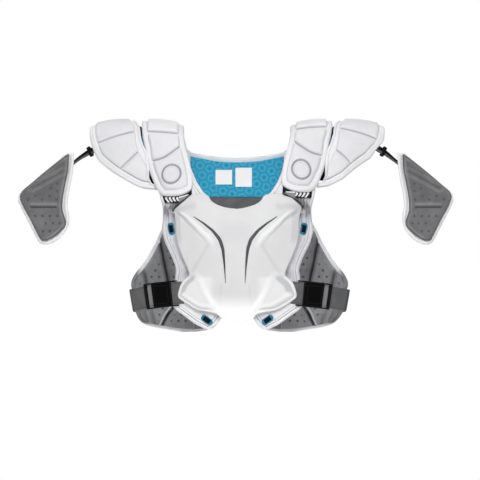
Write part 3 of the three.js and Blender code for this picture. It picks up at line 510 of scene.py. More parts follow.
class Shader:
    """A material whose colour, roughness and bump come from its own nodes."""

    def __init__(self, name, roughness, sheen, specular):
        self.material = bpy.data.materials.new(name)
        self.material.use_nodes = True
        self.tree = self.material.node_tree
        self.surface = self.tree.nodes["Principled BSDF"]
        self.surface.inputs["Roughness"].default_value = roughness
        self.surface.inputs["Specular IOR Level"].default_value = specular
        if sheen:
            self.surface.inputs["Sheen Weight"].default_value = sheen
            self.surface.inputs["Sheen Roughness"].default_value = 0.5

    def node(self, kind, *wired, **settings):
        made = self.tree.nodes.new("ShaderNode" + kind)
        for key, value in settings.items():
            setattr(made, key, value)
        for index, value in enumerate(wired):
            if hasattr(value, "is_output"):
                self.tree.links.new(value, made.inputs[index])
            elif value is not None:
                made.inputs[index].default_value = value
        return made

    def math(self, kind, a, b=None):
        return self.node("Math", a, b, operation=kind).outputs[0]

    def flat(self, millimetres):
        """The piece's flat coordinates, in units of that many millimetres."""
        uv = self.node("UVMap", uv_map="flat").outputs[0]
        scale = 1000 / millimetres
        return self.node("VectorMath", uv, (scale, scale, scale), operation="MULTIPLY").outputs[0]

    def solid(self):
        return self.node("TexCoord").outputs["Object"]

    def noise(self, where, scale):
        made = self.node("TexNoise")
        self.tree.links.new(where, made.inputs["Vector"])
        made.inputs["Scale"].default_value = scale
        made.inputs["Detail"].default_value = 3.0
        return made.outputs["Fac"]

    def spots(self, where, randomness):
        made = self.node("TexVoronoi", feature="F1")
        self.tree.links.new(where, made.inputs["Vector"])
        made.inputs["Scale"].default_value = 1.0
        made.inputs["Randomness"].default_value = randomness
        return made.outputs["Distance"]

    def ramp(self, value, low, high, dark, light):
        """Colours between two for values between two."""
        made = self.node("ValToRGB")
        self.tree.links.new(value, made.inputs[0])
        stops = made.color_ramp.elements
        stops[0].position, stops[1].position = low, high
        stops[0].color = (*dark, 1)
        stops[1].color = (*light, 1)
        return made.outputs[0]

    def mix(self, share, a, b, kind="MIX"):
        made = self.node("Mix", data_type="RGBA", blend_type=kind)
        for socket, value in ((made.inputs[0], share), (made.inputs[6], a), (made.inputs[7], b)):
            if hasattr(value, "is_output"):
                self.tree.links.new(value, socket)
            else:
                socket.default_value = value if isinstance(value, float) else (*value, 1)
        return made.outputs[2]

    def colour(self, value):
        self.tree.links.new(value, self.surface.inputs["Base Color"])

    def rough(self, value, low, high):
        made = self.node("MapRange", value, 0.0, 1.0, low, high)
        self.tree.links.new(made.outputs[0], self.surface.inputs["Roughness"])

    def relief(self, *layers):
        """Bump from pairs of height and depth in millimetres."""
        normal = None
        for height, depth in layers:
            made = self.node("Bump")
            made.inputs["Distance"].default_value = depth * MM
            made.inputs["Strength"].default_value = 1.0
            self.tree.links.new(height, made.inputs["Height"])
            if normal is not None:
                self.tree.links.new(normal, made.inputs["Normal"])
            normal = made.outputs[0]
        self.tree.links.new(normal, self.surface.inputs["Normal"])

    def print_and_painted_light(self):
        return self.node("Attribute", attribute_name="print_and_painted_light").outputs["Fac"]

    def with_print_and_painted_light(self, colour, print_and_painted_light=None, painted_highlight=None):
        """A colour turned towards a second one, for print and painted shade, where the point value is
        positive, and towards a third, for piping and painted highlights, where it is negative.
        """
        if print_and_painted_light is not None:
            colour = self.mix(self.print_and_painted_light(), colour, print_and_painted_light)
        if painted_highlight is not None:
            colour = self.mix(self.math("MULTIPLY", self.print_and_painted_light(), -1.0), colour, painted_highlight)
        return colour

    def weave(self, pitch):
        """Threads over and under each other, at that pitch in millimetres."""
        where = self.node("SeparateXYZ", self.flat(pitch))
        across = self.math("SINE", self.math("MULTIPLY", where.outputs[0], math.tau))
        down = self.math("SINE", self.math("MULTIPLY", where.outputs[1], math.tau))
        return self.math("ADD", self.math("MULTIPLY", self.math("MULTIPLY", across, down), 0.5), 0.5)

    def ribs(self, pitch, axis):
        """Ribs at that pitch in millimetres, across one of the flat axes."""
        where = self.node("SeparateXYZ", self.flat(pitch)).outputs[axis]
        wave = self.math("SINE", self.math("MULTIPLY", where, math.tau))
        return self.math("ADD", self.math("MULTIPLY", wave, 0.5), 0.5)


FABRIC_ROUGHNESS = 0.8
# Pitch, lean and ring size of the printed hexagons.
HEXAGON = {"pitch": 17.5, "lean": 0.32, "ring": 0.31}


def tone(r, g, b):
    """A colour seen as sRGB, from 0 to 255, as linear light."""
    share = np.array([r, g, b]) / 255
    return tuple(np.where(share > 0.04045, ((share + 0.055) / 1.055) ** 2.4, share / 12.92))


def fabric(name, dark, light, pitch, depth, sheen=0.15, print_and_painted_light=None, specular=0.3, painted_highlight=None, glow=0.0):
    """Woven fabric with uneven dye: print and painted shade where the point value is positive, a painted
    highlight where it is negative, and any glow is painted light.
    """
    shader = Shader(name, FABRIC_ROUGHNESS, sheen, specular)
    uneven = shader.noise(shader.solid(), 45.0)
    fine = shader.weave(pitch)
    shader.colour(shader.with_print_and_painted_light(shader.ramp(uneven, 0.3, 0.7, dark, light), print_and_painted_light, painted_highlight))
    shader.surface.inputs["Emission Strength"].default_value = glow
    shader.rough(uneven, FABRIC_ROUGHNESS - 0.06, FABRIC_ROUGHNESS + 0.06)
    shader.relief((fine, depth), (shader.noise(shader.solid(), 130.0), 0.15))
    return shader.material


def knit(name, dark, light, dots_and_painted_shade, piping_and_painted_highlight):
    """Spacer knit: fine ribs, small pores, larger punched dots and painted shade where the point value is
    positive, and piping and painted highlights where it is negative.
    """
    shader = Shader(name, 0.85, 0.2, 0.25)
    pores = shader.spots(shader.flat(2.4), 0.15)
    uneven = shader.noise(shader.solid(), 60.0)
    colour = shader.with_print_and_painted_light(shader.ramp(uneven, 0.3, 0.7, dark, light), dots_and_painted_shade, piping_and_painted_highlight)
    heather = shader.ramp(shader.noise(shader.solid(), 420.0), 0.32, 0.68, (0.8, 0.8, 0.8), (1, 1, 1))
    shade = shader.mix(shader.ramp(pores, 0.05, 0.4, (0.72, 0.72, 0.72), (1, 1, 1)), (0.7, 0.7, 0.7), heather)
    shader.colour(shader.mix(0.6, colour, shade, "MULTIPLY"))
    shader.rough(uneven, 0.8, 0.92)
    shader.relief((pores, 0.35), (shader.ribs(1.1, 1), 0.12))
    return shader.material


def moulded(name, dark, light, roughness, specular, print_and_painted_light=None, painted_highlight=None):
    """Moulded plastic with a fine grain, with painted shade where the point value is positive and a painted
    highlight where it is negative.
    """
    shader = Shader(name, roughness, 0.0, specular)
    uneven = shader.noise(shader.solid(), 30.0)
    shader.colour(shader.with_print_and_painted_light(shader.ramp(uneven, 0.3, 0.7, dark, light), print_and_painted_light, painted_highlight))
    shader.rough(shader.noise(shader.solid(), 220.0), roughness - 0.05, roughness + 0.08)
    shader.relief((shader.noise(shader.solid(), 900.0), 0.05))
    return shader.material


def hexagon_print(name):
    """Blue knit printed with a plain lattice of hexagon rings."""
    shader = Shader(name, 0.8, 0.15, 0.3)
    turned = shader.node("VectorRotate", shader.flat(HEXAGON["pitch"]), rotation_type="Z_AXIS")
    turned.inputs["Angle"].default_value = HEXAGON["lean"]
    cell = (1.0, math.sqrt(3), 1.0)
    slope = (0.5, math.sqrt(3) / 2, 0)
    rings = []
    for offset in (0.0, 0.5):
        moved = shader.node("VectorMath", turned.outputs[0], cell, operation="DIVIDE").outputs[0]
        moved = shader.node("VectorMath", moved, (offset, offset, 0), operation="ADD").outputs[0]
        part = shader.node("VectorMath", moved, operation="FRACTION").outputs[0]
        part = shader.node("VectorMath", part, (0.5, 0.5, 0), operation="SUBTRACT").outputs[0]
        part = shader.node("VectorMath", part, cell, operation="MULTIPLY").outputs[0]
        part = shader.node("VectorMath", part, operation="ABSOLUTE").outputs[0]
        split = shader.node("SeparateXYZ", part)
        slant = shader.node("VectorMath", part, slope, operation="DOT_PRODUCT").outputs["Value"]
        rings.append(shader.math("MAXIMUM", split.outputs[0], slant))
    far = shader.math("MINIMUM", rings[0], rings[1])
    ring = shader.math("ABSOLUTE", shader.math("SUBTRACT", far, HEXAGON["ring"]))
    colour = shader.ramp(ring, 0.05, 0.15, tone(72, 178, 212), tone(36, 162, 205))
    heart = shader.ramp(far, 0.06, 0.2, tone(24, 146, 190), (1, 1, 1))
    shader.colour(shader.mix(1.0, colour, heart, "DARKEN"))
    shader.relief((shader.weave(1.2), 0.15), (ring, -0.5))
    return shader.material


# A material's second colour, for positive point values, serves for print and stitches and for painted shade;
# its third, for negative values, is a painted highlight, with piping on the knits; a glow is painted light.
WHITE_CAP = fabric(
    "cap_laminate", tone(239, 239, 241), tone(245, 245, 246), 0.9, 0.06, print_and_painted_light=tone(140, 138, 150)
)
WHITE_VEST = fabric(
    "vest_mesh", tone(233, 233, 236), tone(241, 241, 243), 1.5, 0.16,
    print_and_painted_light=tone(128, 127, 138), painted_highlight=tone(255, 255, 255),
)
BACK_MESH = fabric(
    "back_mesh", tone(233, 233, 236), tone(242, 242, 244), 1.5, 0.16,
    print_and_painted_light=tone(126, 126, 128), painted_highlight=tone(254, 254, 255),
)
STRAP_WEB = fabric(
    "strap_elastic", tone(92, 93, 94), tone(106, 106, 108), 1.3, 0.22,
    print_and_painted_light=tone(40, 40, 42), painted_highlight=tone(176, 176, 178),
)
CHEVRON_WEB = fabric(
    "chevron_elastic", tone(22, 22, 24), tone(34, 34, 36), 1.1, 0.2, 0.0, tone(238, 238, 240), 0.2
)
CAP_WEB = fabric("cap_web", tone(4, 4, 4), tone(8, 8, 8), 1.2, 0.2, 0.0, tone(24, 120, 160), 0.08)
BLACK_WEB = fabric("black_webbing", tone(4, 4, 4), tone(8, 8, 8), 1.2, 0.2, 0.0, tone(48, 48, 50), 0.08)
ARM_WEB = fabric("arm_elastic", tone(8, 8, 8), tone(14, 14, 14), 1.2, 0.2, 0.0, tone(104, 104, 106), 0.1)
# The labels glow a little: painted light that brightens them where they sit in shade inside the neck.
LABEL_SATIN = fabric(
    "label_satin", tone(251, 251, 252), tone(254, 254, 254), 0.7, 0.04, print_and_painted_light=tone(214, 214, 219), glow=0.1
)
# The plate's second colour is painted shade and its third a painted highlight, laid over its ridges, creases
# and rim.
PLATE = moulded(
    "plate_moulding", tone(218, 218, 219), tone(222, 222, 223), 0.5, 0.25,
    print_and_painted_light=tone(150, 150, 156), painted_highlight=tone(252, 252, 252),
)
SLASH_GREY = moulded("slash_inlay", tone(60, 61, 64), tone(70, 71, 74), 0.45, 0.3)
BLACK_PLASTIC = moulded("black_moulding", tone(4, 4, 4), tone(7, 7, 7), 0.42, 0.2)
BLUE_PLASTIC = moulded("eyelet_moulding", tone(22, 116, 152), tone(34, 138, 178), 0.38, 0.35)
WING_KNIT = knit("wing_knit", tone(146, 146, 148), tone(160, 160, 162), tone(34, 34, 36), tone(226, 226, 230))
ARM_KNIT = knit("arm_knit", tone(108, 108, 110), tone(124, 124, 125), tone(62, 63, 65), tone(210, 210, 210))
SPINE_KNIT = knit("spine_knit", tone(98, 98, 100), tone(112, 112, 114), tone(60, 60, 62), tone(226, 226, 230))
BLUE_KNIT = hexagon_print("blue_knit")

# Strap caps

STRAP_IN, STRAP_OUT = 8.2, 15
STRAP_BACK_LIFT, STRAP_LIFT_ARCH = 3.2, 18
STRAP_FLANGE = 9.6
STRAP_LIFT = 4.4
# How far out the inner and the outer edge are at each arch angle, from the front over the ridge to the back.
STRAP_EDGES = (
    (60.4, 108, 125),
    (60.1, 101, 128.5),
    (59.5, 93.5, 131.5),
    (58.7, 86.5, 134.8),
    (57.5, 80.5, 138.4),
    (55.5, 77.5, 142.4),
    (53, 77, 146),
    (50, 78.4, 150.2),
    (47, 80.4, 153),
    (43.5, 82.7, 156.2),
    (34, 88.8, 160.5),
    (30, 91, 163),
    (24, 92.5, 165.1),
    (20, 93, 166),
    (9, 93, 166.8),
    (-8, 93, 165),
    (-19, 93, 163),
    (-34, 92, 158),
    (-44, 93, 152),
    (-46.5, 97, 147),
    (-48, 104, 139),
)
# Grooves between the moulded panels: points (out from the middle, arch angle) and half width.
STRAP_GROOVES = (
    (((86, 29.5), (94, 32), (103, 35), (114, 38.3), (124, 40.9), (134, 42.4), (144, 43.2), (160, 44.8)), 2.4),
    (((90, 22), (168, 22)), 4),
    (((90, -19), (168, -19)), 3),
    (((88, -36), (164, -36)), 2.4),
)
# How far the right cap is slid up at each arch angle.
STRAP_SLIDE = (
    (0, 0), (8, 2.6), (19.8, 6.4), (24, 5.8), (30, 4.6), (36, 3.8), (42.6, 3.3), (50, 2.3), (60.4, 2.0)
)
# How far in the ring on the right cap is moved.
EMBLEM_SHIFT = 2.8
EMBLEM = {"x": 114.4, "arch": 51, "radius": 16.6, "line": 2.3, "inner": 12.3}


def strap_point(x, arch, out):
    lift = STRAP_BACK_LIFT * np.clip(1 - arch / STRAP_LIFT_ARCH, 0, 1)
    return over_shoulder(x, arch, out + lift)


def panels(base, x, arch, panel, grooves, place):
    """Cut grooves between moulded panels; also the shade under each panel's lower edge."""
    shade = np.zeros_like(x)
    area = step(-1, 1.5, panel)
    for line, half in grooves:
        points = np.array(line, float)
        path = along(points, 2)
        far = distance(base, place(path[:, 0], path[:, 1]))
        level = np.interp(x, points[:, 0], points[:, 1])
        above = np.where(np.abs(arch) < np.abs(level), 1, -1)
        shade = np.maximum(shade, bump(far * above - half + 0.9, 2.0))
        panel = blend(panel, far - half, 1.0)
    return panel, shade * area


def strap_cap():
    """The left cap, as a right one, and the right cap."""
    rows, columns = GRIDS["strap_cap"]
    key = -np.array(column(STRAP_EDGES, 0), float)
    at = lerp(key[0], key[-1], spread(rows, 0.2))
    inner, outer = (smooth(key, column(STRAP_EDGES, k), at) for k in (1, 2))
    x, arch = spanned(inner, outer, spread(columns, 0.35), -at)
    base = strap_point(x, arch, STRAP_OUT)
    inside = distance(base, rim_of(base))
    panel, shade = panels(base, x, arch, inside - STRAP_FLANGE, STRAP_GROOVES,
                          lambda a, b: strap_point(a, b, STRAP_OUT))
    high = STRAP_LIFT * rise(panel, 4) + 0.9 * step(3, 26, panel)
    high -= 0.7 * bump(panel + 0.6, 1.1)
    high -= rounding(inside, 2.6, 3.2)
    high += 0.6 * bump(inside - 3.8, 2.8)
    centre = strap_point(EMBLEM["x"], EMBLEM["arch"], STRAP_OUT)
    from_centre = np.linalg.norm(base - centre, axis=-1)
    ring = np.abs(from_centre - EMBLEM["radius"])
    dish = 1 - step(EMBLEM["inner"] - 1, EMBLEM["inner"], from_centre)
    high -= 0.9 * bump(ring, EMBLEM["line"] + 0.6) + 0.5 * dish
    # The emblem's printed rings; painted shade along the panels' edges and in the grooves; and painted shade
    # over the panels, deeper lower down the front.
    print_and_painted_light = np.maximum.reduce([
        0.95 * (1 - step(EMBLEM["line"] * 0.5, EMBLEM["line"] * 1.2, ring)),
        0.4 * bump(from_centre - EMBLEM["inner"], 1.2),
        0.45 * bump(panel + 0.4, 1.4),
        shade,
        np.where(panel > 0, lerp(0.07, 0.2, step(14, 46, arch)), 0.09),
    ])
    uv = np.stack([x, -arch * 3.2], -1)
    aside = x - EMBLEM_SHIFT * (1 - step(17, 32, from_centre))
    slid = arch - np.interp(arch, *zip(*STRAP_SLIDE))
    face, low = STRAP_OUT + high, STRAP_IN + rounding(inside, 1.6, 3)
    return [closed(strap_point(across, seen, face), strap_point(across, seen, low), uv, print_and_painted_light)
            for across, seen in ((x, arch), (aside, slid))]


# Shoulder caps

CAP_INNER, CAP_OUTER = 150, 257
CAP_CREST, CAP_CREST_FALL = 19, 10
CAP_DROP, CAP_DEPTH, CAP_NARROWING = 160, 72, 0.55
CAP_THICKNESS = 9
CAP_LIFT = 3.8
CAP_FLANGE_OUT, CAP_STITCH = 10.5, 4.2
# The inner flange's width at each arch angle.
CAP_FLANGE_IN = ((0, 11), (34, 10.5), (43, 12.5), (50, 14), (56, 10), (60, 6), (67, 2.5), (76, 2.5))
# How far out and at what arch angle the inner and the outer edge are, from the ridge to the front tip.
CAP_SECTIONS = (
    (176, 0, 257, 0),
    (175, 7, 258, 9),
    (171.8, 14, 257.8, 18),
    (169.8, 20, 256.8, 27),
    (168.4, 29, 252, 39.2),
    (167.2, 35, 248, 45),
    (162.5, 43, 242, 51.2),
    (156.5, 50, 221, 60.7),
    (154.3, 56, 207, 65.2),
    (153, 62, 192, 69.1),
    (153, 67, 178, 72.2),
    (148.5, 71.4, 163, 74.4),
    (139.5, 73.4, 141, 75.2),
)
CAP_GROOVES = (
    (((166, 27.7), (184, 30.2), (241, 38), (256, 40)), 2.2),
    (((156, 45), (172.4, 50), (187, 55.8), (201.5, 61.4), (216, 66.5), (224, 69.2)), 2.2),
)
# How far the right cap's lower outer edge and its tip are moved.
PULL_IN, PULL_UP = 9, 8
TIP_BACK, TIP_UP = 1.5, 4
# How far the right cap's panels are slid up at each arch angle.
CAP_SLIDE = ((0, 0), (15, 2.5), (30, 5), (38, 4.4), (50, 1.6), (60, 0.6), (70, 0))


def shoulder(x, arch, out):
    x, arch, out = np.broadcast_arrays(x, np.radians(arch), out)
    share = np.clip((x - CAP_INNER) / (CAP_OUTER - CAP_INNER), 0, 1)
    depth = (CAP_DEPTH + out) * (1 - CAP_NARROWING * share * share)
    crest = CAP_CREST - CAP_CREST_FALL * share**3
    z = crest + out * np.cos(arch) - CAP_DROP * (1 - np.cos(arch))
    return np.stack([x, -depth * np.sin(arch), z], -1)


def pulled_in(points):
    """The right cap's lower outer edge is pulled in and up, and its tip up and back."""
    x, y, z = np.moveaxis(points, -1, 0)
    inwards = PULL_IN * step(178, 222, x) * step(12, 38, -z)
    upwards = PULL_UP * step(150, 195, x) * step(20, 75, -z)
    tip = (1 - step(165, 190, x)) * step(70, 88, -z)
    return np.stack([x - inwards, y + TIP_BACK * tip, z + upwards + TIP_UP * tip], -1)


def shoulder_cap():
    """The left cap, as a right one, and the right cap."""
    back = [(a, -b, c, -d) for a, b, c, d in CAP_SECTIONS[1:]]
    table = list(CAP_SECTIONS[::-1]) + back
    key = -np.array(column(table, 1), float)
    rows, columns = GRIDS["shoulder_cap"]
    at = lerp(key[0], key[-1], spread(rows, 0.35))
    edge = [smooth(key, column(table, k), at)[:, None] for k in range(4)]
    share = spread(columns, 0.4)[None]
    x = lerp(edge[0], edge[2], share)
    arch = lerp(edge[1], edge[3], share)
    base = shoulder(x, arch, 0.0)
    inner = distance(base, along(base[:, 0], 2))
    outer = distance(base, along(np.concatenate([base[0], base[1:-1, -1], base[-1, ::-1]]), 2))
    flange = np.interp(np.abs(arch), *zip(*CAP_FLANGE_IN))
    panel = blend(inner - flange, outer - CAP_FLANGE_OUT, 1.0)
    grooves = CAP_GROOVES + tuple((tuple((a, -b) for a, b in line), half) for line, half in CAP_GROOVES)
    panel, shade = panels(base, x, arch, panel, grooves, lambda a, b: shoulder(a, b, 0.0))
    high = CAP_LIFT * rise(panel, 4) + 0.8 * step(3, 26, panel)
    high -= 0.7 * bump(panel + 0.6, 1.1)
    edge_in = np.minimum(inner, outer)
    high -= rounding(edge_in, 2.8, 3.2)
    high -= 0.8 * bump(outer - CAP_STITCH, 0.9)
    high += 0.6 * bump(outer - 7, 2.4)
    # Painted shade along the panels' edges, deepest along the outer edge lower down, in the grooves and over
    # the panels; a stitch line near the outer edge; and the inner half a little darker, with a line near its
    # edge.
    print_and_painted_light = np.maximum.reduce([
        0.4 * bump(panel + 0.4, 1.4),
        0.25 * bump(outer - CAP_STITCH, 0.9),
        bump(outer - CAP_FLANGE_OUT + 0.4, 1.3) * (0.4 + 0.5 * step(34, 60, np.abs(arch))),
        0.9 * shade,
        0.2 * step(-0.5, 2, panel),
        np.where(inner < outer, 0.12 + 0.3 * bump(inner - 4.4, 1.5), 0.05),
    ])
    uv = np.stack([x, -arch * 2.2], -1)
    slid = arch - np.interp(arch, *zip(*CAP_SLIDE)) * step(2, 14, outer)
    low = -CAP_THICKNESS + rounding(edge_in, 1.6, 3)
    left, right = (closed(shoulder(x, seen, high), shoulder(x, seen, low), uv, print_and_painted_light) for seen in (arch, slid))
    return [left, (pulled_in(right[0]), *right[1:])]


add_pair("strap_cap", strap_cap(), WHITE_CAP)
add_pair("shoulder_cap", shoulder_cap(), WHITE_CAP)

# Chest plate

PLATE_THICKNESS = 4
PLATE_TOP, PLATE_END = -109.2, -329.8
PLATE_SHARP_ANGLE = 50
# How far the right lobe's upper edge is moved out and up.
LOBE_OUT, LOBE_UP = 2.6, 5.6
# How deep the slash is set in the face, at its middle and at its bottom.
SLASH_SET, SLASH_BOTTOM = 0.5, 2.6
# Place in the front view and how far the face stands off the body, for the right half.
PLATE_POINTS = {
    "neck_middle": (0, -135.5, 14),
    "neck_side": (24, -132.5, 14),
    "neck_curve": (41, -125, 13.8),
    "neck_end": (49, -114.5, 13.5),
    "lobe_top": (77, -109, 11.9),
    "lobe_side": (98, -127.5, 11.9),
    "lobe_corner": (110.5, -138, 12),
    "ridge_start": (99, -146, 13.5),
    "side_top": (108.5, -147, 11),
    "side_high": (107, -160, 11),
    "side_middle": (106, -189, 10.5),
    "side_low": (96, -218, 11.5),
    "notch": (81, -250, 16),
    "wing_top": (92, -259, 14.5),
    "wing_shoulder": (98, -267, 13.5),
    "wing_tip": (103, -285, 14),
    "wing_corner": (101, -292, 14.5),
    "hem_outer": (69, -312.5, 17),
    "hem_inner": (48, -314.5, 19),
    "hem_step": (34, -318, 21),
    "hem_corner": (26, -329, 25),
    "hem_middle": (0, -330, 27),
    "crest_top": (0, -172, 23),
    "crest_high": (0, -209, 26),
    "crest_low": (0, -263, 26),
    "crest_end": (0, -303, 22),
    "slash_top": (75, -150, 18),
    "slash_bend": (44, -172, 22.5),
    "slash_knee": (28, -191, 25.5),
    "slash_hip": (22, -209, 26.5),
    "slash_low": (20, -263, 26),
    "slash_end": (30, -302, 21.5),
    "ridge_bend": (70, -173, 20),
    "ridge_end": (47, -197, 24.5),
    "spine_bend": (54, -277, 20.5),
    "spine_end": (34, -307, 22),
}
PLATE_FACES = """
neck_middle neck_side slash_bend crest_top
neck_side neck_curve slash_bend
neck_curve neck_end slash_bend
neck_end lobe_top slash_top slash_bend
lobe_top lobe_side ridge_start slash_top
lobe_side lobe_corner ridge_start
lobe_corner side_top ridge_start
crest_top slash_bend slash_knee crest_high
slash_knee slash_hip crest_high
crest_high slash_hip slash_low crest_low
crest_low slash_low slash_end crest_end
crest_end slash_end hem_corner hem_middle
slash_end hem_step hem_corner
slash_top ridge_start ridge_bend slash_bend
slash_bend ridge_bend ridge_end slash_knee
slash_knee ridge_end slash_hip
ridge_end notch spine_bend
ridge_end spine_bend slash_low slash_hip
slash_low spine_bend slash_end
spine_bend spine_end slash_end
spine_end hem_step slash_end
ridge_start side_top side_high ridge_bend
side_high side_middle ridge_end ridge_bend
side_middle side_low ridge_end
side_low notch ridge_end
notch wing_top spine_bend
wing_top wing_shoulder wing_tip spine_bend
wing_tip wing_corner hem_outer spine_bend
hem_outer hem_inner spine_end spine_bend
hem_inner hem_step spine_end
"""
PLATE_EDGE = (
    "lobe_top lobe_side lobe_corner side_top side_high side_middle side_low notch wing_top wing_shoulder "
    "wing_tip wing_corner hem_outer hem_inner hem_step hem_corner hem_middle"
).split()
NECK_HALF, NECK_DEPTH, NECK_LEVEL = 49, 23.5, -112
# Middle line and half width of the dark slash inlaid beside the crest.
SLASH = (
    (75.5, -149.5, 0.9),
    (58, -161, 1.9),
    (42, -174, 2.7),
    (30, -189, 3.4),
    (24.5, -206, 3),
    (22, -232, 1.8),
    (20, -265, 0.6),
)
# The ridge from each lobe towards the middle: its crest, with a painted highlight, and its foot below it,
# with painted shade.
RIDGE_CREST = (
    (99, -140), (89, -148), (82, -155), (74.5, -162), (67, -169),
    (60, -176), (52, -183), (47, -190), (43, -200),
)
RIDGE_FOOT = (
    (104, -142), (98, -148), (89.5, -155), (84, -162), (76.5, -169),
    (70, -176), (63, -183), (58, -190), (51, -199),
)
# The spine that runs from each notch to the bottom.
SPINE = (
    (73, -246), (68, -253), (62, -263.5), (57.5, -274),
    (51.5, -284.5), (45.5, -295), (39.5, -305.5), (34, -317),
)
# Soft creases: points, half width, depth and darkness of the shade painted in them.
PLATE_CREASES = (
    (((50, -200), (58, -212), (68.5, -228.5), (77, -245)), 5.5, 0.5, 0.15),
    (((27.5, -268), (28.5, -284), (31, -300)), 3.2, 0.3, 0.1),
    (((105, -138), (92, -134.5), (76, -131)), 9, 0.8, 0.2),
)
FIELD_STEP = 1.25
FIELD_LOW = (-6.0, -342.0)
FIELD_SIZE = (96, 196)


def blur(field, sigma):
    reach = int(3 * sigma) + 1
    t = np.arange(-reach, reach + 1)
    kernel = np.exp(-0.5 * (t / sigma) ** 2)
    kernel /= kernel.sum()
    for axis in (0, 1):
        wide = np.pad(field, [(reach, reach) if k == axis else (0, 0) for k in (0, 1)], mode="edge")
        field = np.apply_along_axis(lambda line: np.convolve(line, kernel, "valid"), axis, wide)
    return field


def plate_field(sigma):
    """How far the plate's face stands off the body, over the front view, with its ridges softened."""
    xs = FIELD_LOW[0] + FIELD_STEP * np.arange(FIELD_SIZE[0])
    zs = FIELD_LOW[1] + FIELD_STEP * np.arange(FIELD_SIZE[1])
    grid = np.stack(np.meshgrid(np.abs(xs), zs, indexing="ij"), -1)
    field = np.full(FIELD_SIZE, np.nan)
    for line in PLATE_FACES.strip().splitlines():
        corners = np.array([PLATE_POINTS[name] for name in line.split()])
        for k in range(1, len(corners) - 1):
            a, b, c = corners[0], corners[k], corners[k + 1]
            side = np.array([b[:2] - a[:2], c[:2] - a[:2]]).T
            weight = (grid - a[:2]) @ np.linalg.inv(side).T
            inside = (weight >= -1e-6).all(-1) & (weight.sum(-1) <= 1 + 1e-6)
            value = a[2] + weight[..., 0] * (b[2] - a[2]) + weight[..., 1] * (c[2] - a[2])
            field[inside] = value[inside]
    known = ~np.isnan(field)
    spots, values = grid[known], field[known]
    for i, j in np.argwhere(~known):
        field[i, j] = values[np.argmin(((spots - grid[i, j]) ** 2).sum(1))]
    return blur(field, sigma / FIELD_STEP)


PLATE_FIELD = plate_field(1.7)


def plate_out(x, z):
    """The plate's face at a place in the front view."""
    i = np.clip((np.abs(x) - FIELD_LOW[0]) / FIELD_STEP, 0, FIELD_SIZE[0] - 1.001)
    j = np.clip((z - FIELD_LOW[1]) / FIELD_STEP, 0, FIELD_SIZE[1] - 1.001)
    a, b = i.astype(int), j.astype(int)
    s, t = i - a, j - b
    low = lerp(PLATE_FIELD[a, b], PLATE_FIELD[a + 1, b], s)
    high = lerp(PLATE_FIELD[a, b + 1], PLATE_FIELD[a + 1, b + 1], s)
    return lerp(low, high, t)


def slash_gap(x, z):
    """How far a place is outside the slash's edge, negative inside it."""
    best = np.full(x.shape, 99.0)
    for (x0, z0, h0), (x1, z1, h1) in zip(SLASH, SLASH[1:]):
        way = np.array([x1 - x0, z1 - z0])
        t = np.clip(((x - x0) * way[0] + (z - z0) * way[1]) / (way @ way), 0, 1)
        far = np.hypot(x - x0 - t * way[0], z - z0 - t * way[1]) - lerp(h0, h1, t)
        best = np.minimum(best, far)
    return best


def soften(line):
    """A line of points with its corners cut round."""
    for _ in range(3):
        inner = np.concatenate([0.8 * line[:-1] + 0.2 * line[1:], 0.2 * line[:-1] + 0.8 * line[1:]], 1)
        line = np.concatenate([line[:1], inner.reshape(-1, line.shape[1]), line[-1:]])
    return line


def from_line(place, line):
    """How far places in the front view are from a line with its corners cut round."""
    return distance(place, soften(np.array(line, float)))


PLATE_LINE = soften(np.array([PLATE_POINTS[name][:2] for name in PLATE_EDGE], float))


def drawn_in(x, z):
    """Where the right half's ridges lie: nearer the middle than the left ones, up to the edge."""
    edge = np.interp(-z, -PLATE_LINE[:, 1], PLATE_LINE[:, 0])
    return x - (3.7 + 2.7 * step(-125, -145, z)) * step(0, 20, x) * step(1, 15, edge - x)


def plate_flank(x, z, inside):
    """Relief of the rolled edge beside the ridge, and painted shade on it."""
    flank = window(z, -140, -150, -186, -200) * step(60, 80, x) * (1 - step(8.5, 10.5, inside))
    return 0.5 * flank, 0.22 * flank


def plate_wing(x, z, inside):
    """Relief of the lower wing: a raised rim and a step inside it, with painted shade on the step, most on
    its upper part, and painted highlights on the rim, under the step and on the face inside it.
    """
    wing = step(-250, -258, z) * step(36, 52, x)
    upper = step(-285, -277, z)
    high = 0.9 * bump(inside - 1.8, 2.2) - 1.5 * (1 - step(4, 12, inside))
    print_and_painted_light = upper * 0.34 * window(inside, 3, 5, 9, 13)
    print_and_painted_light += (1 - upper) * (0.4 * bump(inside - 3.8, 2.4) - 0.9 * bump(inside - 9.8, 4.6))
    print_and_painted_light -= 0.8 * (1 - step(2.4, 4, inside)) + 0.42 * step(10.5, 13.5, inside)
    return wing * high, wing * print_and_painted_light


def plate_ridges(place):
    """Relief of the ridge from the lobe, its foot and the spine, with a painted highlight on the crest and
    the spine and painted shade at the foot.
    """
    z = place[..., 1]
    crest, foot, spine = (from_line(place, line) for line in (RIDGE_CREST, RIDGE_FOOT, SPINE))
    ridge = step(-138, -146, z) * step(-208, -178, z)
    lower = step(-243, -252, z)
    high = ridge * (1.6 * bump(crest, 6) - 1.3 * bump(foot, 4.5)) + lower * 1.5 * bump(spine, 10)
    print_and_painted_light = ridge * lerp(0.42, 0.17, step(-155, -195, z)) * bump(foot, 4)
    print_and_painted_light -= 0.6 * ridge * bump(crest, lerp(4.5, 8, step(-150, -180, z)))
    print_and_painted_light -= lower * lerp(0.22, 0.6, step(-255, -300, z)) * bump(spine, 8.5)
    return high, print_and_painted_light


